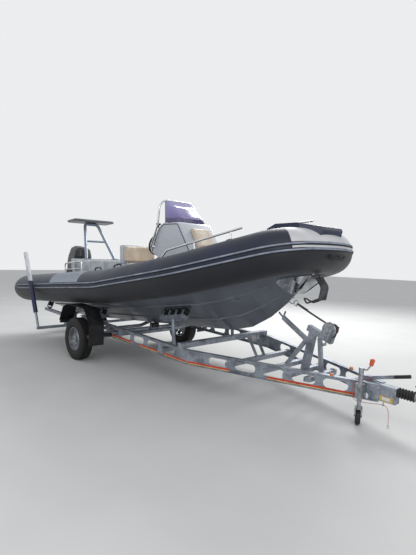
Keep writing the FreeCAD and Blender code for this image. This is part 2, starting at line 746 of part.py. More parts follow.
def trimmed(shape):
    moved = shape.copy()
    moved.rotate(Vector(TILT_X, 0, TILT_Z), Vector(0, 1, 0), ENGINE_TRIM)
    return moved


def clamp_bracket():
    """Two cheeks that hook over the transom, joined by the tilt tube."""
    half = CLAMP_GAP / 2
    outline = [(0, 330), (0, TRANSOM_H + 3), (TRANSOM_T + 2, TRANSOM_H + 3), (TRANSOM_T + 2, 490),
               (TRANSOM_T + 14, 490), (TRANSOM_T + 14, 640), (10, 690), (-80, 690), (-92, 640), (-55, 330)]
    cheeks = [side_profile(outline, y - CLAMP_T / 2, y + CLAMP_T / 2) for y in (-half, half)]
    pin = rod(Vector(TILT_X, -half - 24, TILT_Z), Vector(TILT_X, half + 24, TILT_Z), TILT_PIN_R)
    return fused(cheeks + [pin])


def swivel_bracket():
    """Tilting casting: boss on the tilt tube, arms and the upright barrel for steering."""
    half = CLAMP_GAP / 2 - CLAMP_T / 2 - 6
    boss = rod(Vector(TILT_X, -half, TILT_Z), Vector(TILT_X, half, TILT_Z), 32)
    barrel = rod(Vector(STEER_X, 0, 360), Vector(STEER_X, 0, 680), 40)
    arm = side_profile([(TILT_X - 20, TILT_Z + 28), (TILT_X + 16, TILT_Z - 26), (STEER_X + 18, 400),
                        (STEER_X, 400), (STEER_X, TILT_Z + 20)], -34, 34)
    wide = side_profile([(TILT_X, TILT_Z + 30), (TILT_X + 10, TILT_Z - 28), (TILT_X - 55, TILT_Z - 40),
                         (TILT_X - 55, TILT_Z + 22)], -half, half)
    body = fused([boss, barrel, arm, wide])
    body = body.cut(rod(Vector(TILT_X, -half - 5, TILT_Z), Vector(TILT_X, half + 5, TILT_Z),
                        TILT_PIN_R + PIN_GAP))
    return trimmed(body.cut(rod(Vector(STEER_X, 0, 300), Vector(STEER_X, 0, 700), STEER_R + PIN_GAP)))


def lens(length, width, z, nose=0.38):
    """Streamlined plan outline at height z: round at the front, sharp at the back."""
    front, back = length * nose, -length * (1 - nose)
    port = Part.Arc(Vector(back, 0, z), Vector(0, width / 2, z), Vector(front, 0, z)).toShape()
    star = Part.Arc(Vector(front, 0, z), Vector(0, -width / 2, z), Vector(back, 0, z)).toShape()
    return Part.Wire([port, star])


def engine_leg():
    """Steering shaft, its two yokes, the tapered leg with its splash plates and the gearcase."""
    shaft = rod(Vector(STEER_X, 0, 320), Vector(STEER_X, 0, 730), STEER_R)
    top_yoke = box(STEER_X - 120, STEER_X + 45, -70, 70, 690, 750)
    low_yoke = box(STEER_X - 120, STEER_X + 30, -50, 50, 300, 350)
    mid_x = STEER_X - 160
    sections = []
    for z, length, width in ((COWL_BASE_Z, 260, 250), (520, 210, 150), (PLATE_Z, 200, 100)):
        wire = lens(length, width, z)
        wire.translate(Vector(mid_x, 0, 0))
        sections.append(wire)
    leg = Part.makeLoft(sections, True, True)
    plate = plan_profile([(mid_x + 110, -40), (mid_x + 110, 40), (mid_x - 60, 105),
                          (mid_x - 260, 95), (mid_x - 260, -95), (mid_x - 60, -105)],
                         PLATE_Z - 6, PLATE_Z + 6)
    return fused([shaft, top_yoke, low_yoke, leg, plate])


def lower_unit():
    """Strut, torpedo gearcase and skeg under the splash plate."""
    mid_x = STEER_X - 160
    top, low = lens(200, 88, PLATE_Z - 6.0), lens(190, 60, PROP_Z)
    for wire in (top, low):
        wire.translate(Vector(mid_x, 0, 0))
    strut = Part.makeLoft([top, low], True, True)
    start = Vector(mid_x - 120, 0, PROP_Z)
    body = rod(start, start + Vector(170, 0, 0), GEARCASE_R)
    nose = Part.makeCone(GEARCASE_R, 12, 110, start + Vector(170, 0, 0), Vector(1, 0, 0))
    skeg = side_profile([(mid_x + 60, PROP_Z - 20), (mid_x - 30, PROP_Z - 190),
                         (mid_x - 95, PROP_Z - 190), (mid_x - 80, PROP_Z - 20)], -6, 6)
    shaft = rod(start + Vector(60, 0, 0), start + Vector(-150, 0, 0), PROP_SHAFT_R)
    return fused([strut, body, nose, skeg, shaft])


def propeller():
    """Hub with three raked and twisted blades."""
    back = Vector(STEER_X - 160 - 120 - 6, 0, PROP_Z)
    hub = Part.makeCone(50, 40, 110, back, Vector(-1, 0, 0))
    blades = []
    for turn in (0, 120, 240):
        blade = box(-36, 36, -4, 4, 30, PROP_R)
        tip = rod(Vector(0, -40, PROP_R - 85), Vector(0, 40, PROP_R - 85), 85)
        blade = box(-60, 60, -5, 5, 30, PROP_R).common(tip)
        blade.rotate(Vector(), Vector(0, 0, 1), 62)
        blade.rotate(Vector(), Vector(1, 0, 0), turn)
        blade.translate(back + Vector(-55, 0, 0))
        blades.append(blade)
    wheel = fused([hub] + blades)
    return wheel.cut(rod(back + Vector(10, 0, 0), back + Vector(-130, 0, 0), PROP_SHAFT_R + PIN_GAP))


def cowl_outline(z, front, back, width):
    """Plan outline of the cowl at height z: a blunt front, sides that taper aft and a round back."""
    half = width / 2
    nose, tail = front - half * 0.62, back + half * 0.7
    edges = [
        Part.Arc(Vector(nose, half, z), Vector(front, 0, z), Vector(nose, -half, z)).toShape(),
        Part.LineSegment(Vector(nose, -half, z), Vector(tail, -half * 0.8, z)).toShape(),
        Part.Arc(Vector(tail, -half * 0.8, z), Vector(back, 0, z), Vector(tail, half * 0.8, z)).toShape(),
        Part.LineSegment(Vector(tail, half * 0.8, z), Vector(nose, half, z)).toShape(),
    ]
    return Part.Wire(edges)


def cowl_shell(inset):
    """The cowl's form, drawn in by inset on every side."""
    wires = [cowl_outline(z, front - inset, back + inset, width - 2 * inset)
             for z, front, back, width in COWL_SECTIONS]
    return Part.makeLoft(wires, True, True)


def cowl():
    """Powerhead cover: a lofted shell with a lift-off seam and an air scoop round its back."""
    body = cowl_shell(0.0)
    z, width, depth = COWL_SEAM
    seam = box(-900, 100, -COWL_W, COWL_W, z, z + width).cut(cowl_shell(depth))
    low, high, depth = INTAKE
    scoop = box(-900, COWL_SECTIONS[2][2] + 190, -COWL_W, COWL_W, low, high).cut(cowl_shell(depth))
    return body.cut(seam).cut(scoop)


# Trailer

def beside(route, distance):
    """The route moved sideways in plan, mitred at its corners."""
    moved = []
    for index, (x, y) in enumerate(route):
        here = Vector(x, y, 0)
        before = Vector(*route[max(index - 1, 0)], 0)
        after = Vector(*route[min(index + 1, len(route) - 1)], 0)
        normals = [Vector(-(b.y - a.y), b.x - a.x, 0).normalize()
                   for a, b in ((before, here), (here, after)) if a != b]
        mitre = normals[0] + normals[-1]
        spot = here + mitre * (2 * distance / mitre.Length ** 2)
        moved.append((spot.x, spot.y))
    return moved


def strip(route, half_width, z0, z1):
    """A bar of constant width along a bent route in plan."""
    return plan_profile(beside(route, half_width) + beside(route, -half_width)[::-1], z0, z1)


def slot(length, height, depth):
    """A long hole with round ends, along x, cut across y."""
    run = length / 2 - height / 2
    body = box(-run, run, -depth / 2, depth / 2, -height / 2, height / 2)
    ends = [rod(Vector(x, -depth / 2, 0), Vector(x, depth / 2, 0), height / 2) for x in (-run, run)]
    return fused([body] + ends)


def side_beam():
    """One pierced I-beam: web with long slots, two flanges, bent in at the front."""
    low, high = RAIL_TOP - RAIL_DEPTH, RAIL_TOP
    web = strip(RAIL_ROUTE, RAIL_WEB_T / 2, low, high)
    top = strip(RAIL_ROUTE, RAIL_FLANGE_W / 2, high - RAIL_FLANGE_T, high)
    foot = strip(RAIL_ROUTE, RAIL_FLANGE_W / 2, low, low + RAIL_FLANGE_T)
    holes = []
    for (x0, y0), (x1, y1) in zip(RAIL_ROUTE, RAIL_ROUTE[1:]):
        run = Vector(x1 - x0, y1 - y0, 0)
        angle = math.degrees(math.atan2(run.y, run.x))
        count = int((run.Length - 200) // SLOT_PITCH)
        for index in range(count):
            along = run.Length / 2 + (index - (count - 1) / 2) * SLOT_PITCH
            hole = slot(SLOT_L, SLOT_H, 60)
            hole.rotate(Vector(), Vector(0, 0, 1), angle)
            spot = Vector(x0, y0, (low + high) / 2) + run * (along / run.Length)
            hole.translate(spot)
            holes.append(hole)
    return fused([top, foot, web.cut(Part.makeCompound(holes))])


def side_beams():
    """Both beams and the drawbar box that they run into."""
    beam = side_beam()
    drawbar = box(RAIL_ROUTE[-1][0] - 260, DRAWBAR_FRONT, -DRAWBAR_W / 2, DRAWBAR_W / 2,
                  RAIL_TOP - RAIL_DEPTH + RAIL_FLANGE_T, RAIL_TOP - RAIL_FLANGE_T)
    return fused([beam, mirrored(beam), drawbar])


def cross_members():
    """Dropped round tubes between the beams, the square tube over them and the rear bar."""
    inner = RAIL_ROUTE[0][1] - RAIL_WEB_T / 2
    bars = []
    for x, end_z, mid_z in DROPPED:
        points = [Vector(x, -inner, end_z), Vector(x, -inner * DROPPED_FLAT, mid_z - 0.01),
                  Vector(x, inner * DROPPED_FLAT, mid_z - 0.01), Vector(x, inner, end_z)]
        if abs(end_z - mid_z) < 1:
            bars.append(rod(points[0], points[-1], DROPPED_R))
        else:
            bars.append(bent_rod(points, [250, 250], DROPPED_R))
    slab = box(-3000, 5000, -inner, inner, -500, 900)
    bars = [bar.common(slab) for bar in bars]
    reach = RAIL_ROUTE[0][1] + RAIL_FLANGE_W / 2
    bars.append(tie(FRONT_STAND_X))
    bars.append(box(OVER_CROSS_X - CROSS_W / 2, OVER_CROSS_X + CROSS_W / 2, -reach, reach,
                    RAIL_TOP, RAIL_TOP + CROSS_D))
    return Part.makeCompound(bars)


def rear_frame(spot):
    """Light arms that carry on aft of the beams, their drop plates and the bar for the guide posts."""
    y = RAIL_ROUTE[0][1]
    z = REAR_ARM_Z
    start = RAIL_ROUTE[0][0] + 60
    pieces = []
    for side in (-1, 1):
        y0, y1 = sorted((side * (y - RAIL_WEB_T / 2), side * (y - RAIL_WEB_T / 2 - REAR_ARM_W)))
        pieces.append(box(REAR_ARM_END, start, y0, y1, z, z + REAR_ARM_W))
        pieces.append(box(REAR_BAR_X - 40, REAR_BAR_X + 40, y0, y1, REAR_BAR_Z, z + 5))
    pieces.append(box(REAR_BAR_X - 22, REAR_BAR_X + 22, -GUIDE_FOOT_Y - 24, GUIDE_FOOT_Y + 24,
                      REAR_BAR_Z - 22, REAR_BAR_Z + 22))
    pieces.append(keel_fork(spot, Vector(REAR_BAR_X, 0, REAR_BAR_Z)))
    return fused(pieces)


def axle():
    """Torsion axle under the beams with two trailing arms and stub shafts."""
    low = RAIL_TOP - RAIL_DEPTH
    reach = RAIL_ROUTE[0][1] + 60
    beam = box(AXLE_X - AXLE_R, AXLE_X + AXLE_R, -reach, reach, low - 2 * AXLE_R, low)
    pieces = [beam]
    for side in (-1, 1):
        inner = side * (reach + 2)
        face = side * (TRACK_HALF - TYRE_W / 2 - 6)
        y0, y1 = min(inner - side * 30, face), max(inner - side * 30, face)
        pieces.append(side_profile([(AXLE_X + 40, low - 5), (AXLE_X + 40, low - 85), (-30, -35),
                                    (-42, 0), (-30, 40), (AXLE_X - 30, low - 5)], y0, y1))
        pieces.append(rod(Vector(0, side * (abs(face) - 10), 0), Vector(0, side * (TRACK_HALF + 20), 0), STUB_R))
    return fused(pieces)


def road_wheel_tyre():
    """Light-commercial radial tyre: flat tread, round shoulders, full side walls."""
    w = TYRE_W / 2
    outline = [
        Part.LineSegment(Vector(0, -w + 22, RIM_R), Vector(0, w - 22, RIM_R)).toShape(),
        Part.Arc(Vector(0, w - 22, RIM_R), Vector(0, w, (RIM_R + TYRE_R) / 2 - 6),
                 Vector(0, w - 20, TYRE_R - 8)).toShape(),
        Part.LineSegment(Vector(0, w - 20, TYRE_R - 8), Vector(0, w - 34, TYRE_R)).toShape(),
        Part.LineSegment(Vector(0, w - 34, TYRE_R), Vector(0, -w + 34, TYRE_R)).toShape(),
        Part.LineSegment(Vector(0, -w + 34, TYRE_R), Vector(0, -w + 20, TYRE_R - 8)).toShape(),
        Part.Arc(Vector(0, -w + 20, TYRE_R - 8), Vector(0, -w, (RIM_R + TYRE_R) / 2 - 6),
                 Vector(0, -w + 22, RIM_R)).toShape(),
    ]
    return Part.Face(Part.Wire(outline)).revolve(Vector(), Vector(0, 1, 0), 360)


def road_wheel_rim(side):
    """Pressed steel rim: barrel, dished disc with hand holes and a hub bored for the stub."""
    w = TYRE_W / 2 - 18
    barrel = tube(Vector(0, -w, 0), Vector(0, w, 0), RIM_R, RIM_R - 8)
    disc = rod(Vector(0, 8, 0), Vector(0, 22, 0), RIM_R - 6)
    dish = Part.makeCone(110, 85, 30, Vector(0, 18, 0), Vector(0, 1, 0))
    hub = rod(Vector(0, -w, 0), Vector(0, 66, 0), 46)
    holes = []
    for index in range(10):
        turn = math.radians(36 * index)
        spot = Vector(math.cos(turn) * 138, 0, math.sin(turn) * 138)
        holes.append(rod(spot, spot + Vector(0, 60, 0), 16))
    rim = fused([barrel, disc, dish, hub]).cut(Part.makeCompound(holes))
    rim = rim.cut(rod(Vector(0, -w - 5, 0), Vector(0, 40, 0), STUB_R + PIN_GAP))
    if side < 0:
        rim = mirrored(rim)
    return rim


def road_wheels():
    """Tyre and rim of each side, at the ends of the axle."""
    parts = {}
    for side, name in ((-1, "starboard"), (1, "port")):
        for kind, shape in (("tyre", road_wheel_tyre()), ("rim", road_wheel_rim(side))):
            shape = shape.copy()
            shape.translate(Vector(0, side * TRACK_HALF, HUB_HEIGHT))
            parts[kind + "_" + name] = shape
    return parts


def mudguards():
    """Black moulded guards over each tyre, with a turned-in rear edge, on bars from the beams."""
    outline = [Vector(x, 0, z) for x, z in GUARD_OUTLINE]
    path = route_wire(outline, list(GUARD_BENDS))
    section = path.makeOffset2D(GUARD_T, 2, True, True)
    half = GUARD_W / 2
    guards = []
    for side in (-1, 1):
        y = side * TRACK_HALF
        shell = section.extrude(Vector(0, GUARD_W, 0))
        shell.translate(Vector(0, y - half, 0))
        inner = side * (RAIL_ROUTE[0][1] + RAIL_WEB_T / 2)
        y0, y1 = sorted((inner, y + side * half))
        front = box(GUARD_OUTLINE[0][0] - 60, GUARD_OUTLINE[0][0], y0, y1, RAIL_TOP - RAIL_DEPTH + 12,
                    RAIL_TOP - RAIL_DEPTH + 52)
        low = GUARD_OUTLINE[-1][1]
        rear = box(GUARD_OUTLINE[-1][0] - 45, GUARD_OUTLINE[-1][0], y0, y1, low - 34, low)
        guards.append(fused([shell, front, rear]).cut(side_beam() if side > 0 else mirrored(side_beam())))
    return Part.makeCompound([max(guard.Solids, key=lambda solid: solid.Volume) for guard in guards])


def bottom_z(x, y):
    """Height of the hull's bottom over a point, in the boat's frame."""
    for fore, aft in zip(HULL_STATIONS[1:], HULL_STATIONS):
        if x <= fore[0]:
            break
    share = (x - aft[0]) / (fore[0] - aft[0])
    low = keel_z(aft[0]) + (keel_z(fore[0]) - keel_z(aft[0])) * share
    chine_y = aft[1] + (fore[1] - aft[1]) * share
    chine = aft[2] + (fore[2] - aft[2]) * share
    return low + (chine - low) * abs(y) / chine_y


def bottom_normal(x, y):
    """Outward (downward) unit normal of the hull's bottom."""
    step = 10.0
    slope_x = (bottom_z(x + step, y) - bottom_z(x - step, y)) / (2 * step)
    slope_y = (bottom_z(x, y + step) - bottom_z(x, y - step)) / (2 * step)
    return Vector(slope_x, slope_y, -1).normalize()


def drum(radius, width):
    """Waisted rubber roller along y, centred on the origin."""
    half = width / 2
    outline = [Vector(0, -half, 0), Vector(0, -half, radius), Vector(0, -half * 0.3, radius * ROLLER_WAIST),
               Vector(0, half * 0.3, radius * ROLLER_WAIST), Vector(0, half, radius), Vector(0, half, 0)]
    return Part.Face(Part.makePolygon(outline + outline[:1])).revolve(Vector(), Vector(0, 1, 0), 360)


def roller_spot(x, y):
    """Centre, pin direction and downward normal of a roller that touches the bottom over x, y."""
    down = bottom_normal(x, y)
    contact = Vector(x, y, bottom_z(x, y))
    pin = down.cross(Vector(1, 0, 0)).normalize()
    return contact + down * (ROLLER_R + 1.0), pin, down


def cradle_spots():
    """Spots of every side roller of one side, in the boat's frame."""
    steps = (-1.5, -0.5, 0.5, 1.5)
    return [roller_spot(middle + step * ROLLER_PITCH, CRADLE_Y) for middle, _ in CRADLES for step in steps]


def hull_rollers():
    """The rubber side rollers of both sides and the two under the ends of the transom."""
    rollers = []
    for centre, pin, _ in cradle_spots() + [roller_spot(*TRANSOM_ROLLER)]:
        wheel = drum(ROLLER_R, ROLLER_W)
        wheel = wheel.cut(rod(Vector(0, -ROLLER_W, 0), Vector(0, ROLLER_W, 0), ROLLER_PIN_R + PIN_GAP))
        turn = FreeCAD.Rotation(Vector(0, 1, 0), pin)
        wheel.Placement = FreeCAD.Placement(centre, turn)
        rollers.append(wheel)
    return both_sides(Part.makeCompound(rollers))


def roller_fork(spot, drop):
    """Pin and two ears that hold one side roller."""
    centre, pin, down = spot
    reach = ROLLER_W / 2 + 9
    turn = FreeCAD.Rotation(Vector(0, 0, -1), down)
    pieces = [rod(centre - pin * reach, centre + pin * reach, ROLLER_PIN_R)]
    for side in (-1, 1):
        ear = box(-20, 20, -3, 3, -drop, 16)
        ear.Placement = FreeCAD.Placement(centre + pin * (side * (ROLLER_W / 2 + 5)), turn)
        pieces.append(ear)
    return pieces


def cradle(group):
    """Galvanised cradle: forks for four rollers on one beam along the bottom, in the boat's frame."""
    pieces = []
    for spot in group:
        pieces += roller_fork(spot, ROLLER_R + 35)
    first, last = group[0], group[-1]
    drop = ROLLER_R + 40
    start, end = first[0] + first[2] * drop, last[0] + last[2] * drop
    run = (end - start).normalize()
    start, end = start - run * 45, end + run * 45
    across = first[1] * (ROLLER_W / 2 + 10)
    normal = run.cross(first[1]).normalize() * 25
    corners = [start + across - normal, start - across - normal, start - across + normal,
               start + across + normal]
    beam = Part.Face(Part.makePolygon(corners + corners[:1])).extrude(end - start)
    return fused([beam] + pieces)


def ground_of(point):
    """A point of the boat's frame in the ground frame about the axle."""
    lean = math.radians(BOAT_TRIM)
    return Vector(point.x * math.cos(lean) - point.z * math.sin(lean) - TRANSOM_AFT_OF_AXLE, point.y,
                  point.x * math.sin(lean) + point.z * math.cos(lean) + KEEL_OVER_GROUND)


def chassis_of(point):
    """A point of the ground frame about the axle in the chassis frame."""
    lean = math.radians(CHASSIS_TRIM)
    x, z = point.x, point.z - HUB_HEIGHT
    return Vector(x * math.cos(lean) - z * math.sin(lean), point.y, x * math.sin(lean) + z * math.cos(lean))


def level(x, height):
    """Height in the chassis frame of a point at x that stands so high over the ground."""
    lean = math.radians(CHASSIS_TRIM)
    return (height - HUB_HEIGHT + x * math.sin(lean)) / math.cos(lean)


def cradle_stand(group, tube_x, bars):
    """Upright from a dropped tube to its cradle's middle, in the chassis frame."""
    middle = (group[1][0] + group[2][0]) * 0.5 + group[1][2] * (ROLLER_R + 40 + 10)
    top = chassis_of(ground_of(middle))
    row = [row for row in DROPPED if row[0] == tube_x][0]
    inner = RAIL_ROUTE[0][1] - RAIL_WEB_T / 2
    flat = inner * DROPPED_FLAT
    share = max(0.0, (top.y - flat) / (inner - flat))
    base = Vector(tube_x, top.y, row[2] + (row[1] - row[2]) * share)
    stand = rod(base, top, STAND_R).cut(bars)
    return max(stand.Solids, key=lambda solid: solid.Volume)


def cradles(bars):
    """Both cradles of each side on their uprights, in the ground frame."""
    spots = cradle_spots()
    wholes = []
    for index, (_, tube_x) in enumerate(CRADLES):
        group = spots[index * 4:index * 4 + 4]
        wholes.append(fused([laid(cradle(group)), hitched(cradle_stand(group, tube_x, bars))]))
    return both_sides(Part.makeCompound(wholes))


def transom_stand():
    """Fork and upright on a rear arm for the roller under one end of the transom, ground frame."""
    spot = roller_spot(*TRANSOM_ROLLER)
    drop = ROLLER_R + 18
    fork = roller_fork(spot, drop)
    centre, pin, down = spot
    turn = FreeCAD.Rotation(Vector(0, 0, -1), down)
    plate = box(-22, 22, -ROLLER_W / 2 - 10, ROLLER_W / 2 + 10, -drop - 8, -drop + 2)
    plate.Placement = FreeCAD.Placement(centre, turn)
    seat = ground_of(centre + down * drop)
    low = REAR_ARM_Z + REAR_ARM_W
    foot = chassis_of(seat)
    upright = box(foot.x - 20, foot.x + 20, RAIL_ROUTE[0][1] - RAIL_WEB_T / 2 - REAR_ARM_W,
                  RAIL_ROUTE[0][1] - RAIL_WEB_T / 2, low, foot.z)
    web = box(foot.x - 20, foot.x + 20, foot.y - 20, RAIL_ROUTE[0][1] - RAIL_WEB_T / 2, foot.z - 12, foot.z)
    return fused([laid(fused(fork + [plate])), hitched(fused([upright, web]))])


def keel_spots():
    """Pin centres of the centre rollers, in the chassis frame."""
    drops = [(x, keel_z(x) - gap - KEEL_ROLLER_R * ROLLER_WAIST) for x, gap in KEEL_ROLLERS]
    return [chassis_of(ground_of(Vector(x, 0, z))) for x, z in drops]


def keel_rollers():
    """Waisted centre rollers under the keel, bored for their pins."""
    rollers = []
    for spot in keel_spots():
        wheel = drum(KEEL_ROLLER_R, KEEL_ROLLER_W)
        wheel = wheel.cut(rod(Vector(0, -200, 0), Vector(0, 200, 0), ROLLER_PIN_R + PIN_GAP))
        wheel.translate(spot)
        rollers.append(wheel)
    return Part.makeCompound(rollers)


def keel_fork(spot, foot):
    """Pin and two side plates that run from a centre roller to the point that carries them."""
    reach = KEEL_ROLLER_W / 2 + 12
    over = spot + (spot - foot).normalize() * 18
    plates = bar_between(foot.x, foot.z, over.x, over.z, 44, KEEL_ROLLER_W + 18)
    space = bar_between(foot.x, foot.z, over.x, over.z, 50, KEEL_ROLLER_W + 6)
    pin = rod(Vector(spot.x, -reach, spot.z), Vector(spot.x, reach, spot.z), ROLLER_PIN_R)
    return pin.fuse(plates.cut(space))


def between_webs(z0, z1):
    """The space between the webs of the two side beams."""
    half = beside(RAIL_ROUTE, -RAIL_WEB_T / 2)
    return plan_profile(half + [(x, -y) for x, y in reversed(half)], z0, z1)


def bar_between(x0, z0, x1, z1, along, across):
    """Square tube in the centre plane from one point to another."""
    run = Vector(x1 - x0, 0, z1 - z0)
    side = Vector(-run.z, 0, run.x).normalize() * (along / 2)
    corners = [(x0 + side.x, z0 + side.z), (x1 + side.x, z1 + side.z),
               (x1 - side.x, z1 - side.z), (x0 - side.x, z0 - side.z)]
    return side_profile(corners, -across / 2, across / 2)


def tie(x):
    """Cross bar between the converging webs."""
    low = RAIL_TOP - RAIL_DEPTH + 55
    return box(x - TIE_W / 2, x + TIE_W / 2, -800, 800, low, low + TIE_D).common(between_webs(0, 500))


def winch_post():
    """Ties between the beams, the post with its struts, the head and the bow fork."""
    pieces = [tie(x) for x in POST_TIES] + [bar_between(*row) for row in POST_BARS]
    tip = Vector(POST_BARS[4][2], 0, POST_BARS[4][3])
    for side in (-1, 1):
        pieces.append(rod(tip, tip + Vector(-20, side * 62, 62), 11))
    return fused(pieces)


def on_arm(point_or_shape):
    """From the winch's own frame, x forward along the arm's top face, to the chassis frame."""
    x0, z0, x1, z1, along, _ = POST_BARS[3]
    slope = math.atan2(z1 - z0, x1 - x0)
    share = (WINCH_X - x0) / (x1 - x0)
    seat = Vector(WINCH_X - math.sin(slope) * along / 2, 0, z0 + (z1 - z0) * share + math.cos(slope) * along / 2)
    turn = FreeCAD.Placement(seat, FreeCAD.Rotation(Vector(0, 1, 0), -math.degrees(slope)))
    if isinstance(point_or_shape, Vector):
        return turn.multVec(point_or_shape)
    moved = point_or_shape.copy()
    moved.Placement = turn.multiply(moved.Placement)
    return moved


def winch():
    """Hand winch: side plates, geared drum and the crank with its grip."""
    plates = [box(-70, 60, y - 3, y + 3, 0, 130) for y in (-48, 48)]
    base = box(-70, 60, -51, 51, 0, 6)
    shaft = rod(Vector(0, -62, DRUM_H), Vector(0, 58, DRUM_H), 10)
    drum_body = rod(Vector(0, -45, DRUM_H), Vector(0, 45, DRUM_H), DRUM_R)
    gear = rod(Vector(0, 51, DRUM_H), Vector(0, 63, DRUM_H), 62)
    start = Vector(35, -51, 100)
    crank = bent_rod([start, start + Vector(0, -34, 0), start + Vector(10, -34, -170)], [14], 8)
    grip = rod(start + Vector(10, -30, -170), start + Vector(10, -120, -170), 15)
    return on_arm(fused(plates + [base, shaft, drum_body, gear, crank, grip]))


def bow_eye():
    """Stainless U bolt through the stem."""
    x, z = BOW_EYE
    bar = [Vector(x + dx, 0, z + dz) for dx, dz in EYE_BAR]
    points = [Vector(x - 70, 0, z + 90), bar[0], bar[1], Vector(x - 110, 0, z + 20)]
    return bent_rod(points, [25, 25], 7)


def stem_band(hull_body, snug):
    """Polished plate wrapped round the top of the stem."""
    grown = [(x, chine + 4, low - 4, top + 4, high) for x, chine, low, top, high in HULL_STATIONS[-4:]]
    wide = Part.makeLoft([hull_section(row) for row in grown], True, True)
    wide.translate(Vector(3, 0, -4))
    area = side_profile(STEM_PLATE, -300, 300)
    band = wide.common(area).cut(hull_body).cut(snug)
    return max(band.Solids, key=lambda solid: solid.Volume)


def bow_channel(blockers):
    """Two cheeks under the collar's nose with the roller that the anchor's shank lies on."""
    cheeks = [side_profile(BOW_CHANNEL, y - 2.5, y + 2.5) for y in (-24, 24)]
    pin = rod(Vector(BOW_CHANNEL[2][0] - 25, -32, BOW_CHANNEL[2][1] - 2),
              Vector(BOW_CHANNEL[2][0] - 25, 32, BOW_CHANNEL[2][1] - 2), 7)
    rest = box(BOW_CHANNEL[0][0] + 10, BOW_CHANNEL[0][0] + 90, -24, 24, BOW_CHANNEL[0][1] + 8,
               BOW_CHANNEL[0][1] + 14)
    body = fused(cheeks + [pin, rest])
    for blocker in blockers:
        body = body.cut(blocker)
    return max(body.Solids, key=lambda solid: solid.Volume)


def anchor():
    """Roll-bar anchor hung in the bow channel: flat shank, bent fluke and hoop."""
    (x0, z0), (x1, z1) = ANCHOR_SHANK
    shank = bar_between(x0, z0, x1, z1, 36, 14)
    path = route_wire([Vector(x, 0, z) for x, z in ANCHOR_FLUKE], [60])
    fluke = path.makeOffset2D(12, 2, True, True).extrude(Vector(0, 150, 0))
    fluke.translate(Vector(0, -75, 0))
    (top_x, top_z), _, (low_x, low_z) = ANCHOR_FLUKE
    hoop = bent_rod([Vector(low_x, -66, low_z + 14), Vector(low_x - 150, -66, low_z - 36),
                     Vector(low_x - 236, 0, low_z + 34), Vector(low_x - 150, 66, low_z - 36),
                     Vector(low_x, 66, low_z + 14)], [40, 30, 40], 9)
    return fused([shank, fluke, hoop])


def bow_fittings():
    """Cleat and fairlead roller on the bow step."""
    nose = COLLAR_NOSE[0]
    top = COLLAR_NOSE[2] + TUBE_R
    x = nose - 160
    deck = top + 52.0
    cleat = [rod(Vector(x - 35, 0, deck), Vector(x - 35, 0, deck + 36), 9),
             rod(Vector(x + 35, 0, deck), Vector(x + 35, 0, deck + 36), 9),
             rod(Vector(x - 85, 0, deck + 40), Vector(x + 85, 0, deck + 40), 10)]
    return fused(cleat)


def winch_strap():
    """Webbing pulled tight from the winch drum to the bow eye, with the ring that links them."""
    x, z = BOW_EYE
    aft, fore = (chassis_of(ground_of(Vector(x + dx, 0, z + dz))) for dx, dz in EYE_BAR)
    eye = (aft + fore) * 0.5
    centre = on_arm(Vector(0, 0, DRUM_H))
    run = (eye - centre).normalize()
    lift = Vector(run.z, 0, -run.x) * (DRUM_R + SEAT_GAP + STRAP_T / 2)
    start = centre + lift
    run = (eye - start).normalize()
    end = eye - run * 48
    strap = bar_between(start.x, start.z, end.x, end.z, STRAP_T, STRAP_W)
    near = eye - run * 21
    link = bar_between(end.x - run.x * 14, end.z - run.z * 14, near.x, near.z, 12, 20)
    ring = Part.makeTorus(17, 5.5, eye, fore - aft)
    return fused([strap, link, ring])


def guide_line():
    """Foot and top of the port guide post, in the ground frame."""
    foot = ground_from_chassis(Vector(REAR_BAR_X, GUIDE_FOOT_Y, REAR_BAR_Z))
    top = Vector(GUIDE_TOP[0], GUIDE_FOOT_Y, GUIDE_TOP[1])
    return foot, top


def ground_from_chassis(point):
    lean = math.radians(CHASSIS_TRIM)
    return Vector(point.x * math.cos(lean) + point.z * math.sin(lean), point.y,
                  -point.x * math.sin(lean) + point.z * math.cos(lean) + HUB_HEIGHT)


def guide_posts():
    """Leaning post at each end of the rear bar."""
    foot, top = guide_line()
    return both_sides(rod(foot, top - (top - foot).normalize() * 6, GUIDE_TUBE_R))


def guide_sleeves():
    """White plastic tube that turns on each post, closed at its top."""
    foot, top = guide_line()
    start = foot + (top - foot) * SLEEVE_BASE
    end = top - (top - foot).normalize() * 5.7
    return both_sides(rod(start, top, SLEEVE_R).cut(rod(start, end, GUIDE_TUBE_R + SEAT_GAP)))


def bellows():
    """Rubber gaiter over the coupling's sliding shaft."""
    count = 6
    pitch = BELLOWS_L / count
    outline = [Vector(DRAWBAR_FRONT, 0, SHAFT_Z), Vector(DRAWBAR_FRONT, 0, SHAFT_Z + BELLOWS_R - 12)]
    for index in range(count):
        outline.append(Vector(DRAWBAR_FRONT + pitch * (index + 0.5), 0, SHAFT_Z + BELLOWS_R))
        outline.append(Vector(DRAWBAR_FRONT + pitch * (index + 1), 0, SHAFT_Z + BELLOWS_R - 12))
    outline.append(Vector(DRAWBAR_FRONT + BELLOWS_L, 0, SHAFT_Z))
    return Part.Face(Part.makePolygon(outline + outline[:1])).revolve(Vector(0, 0, SHAFT_Z), Vector(1, 0, 0), 360)


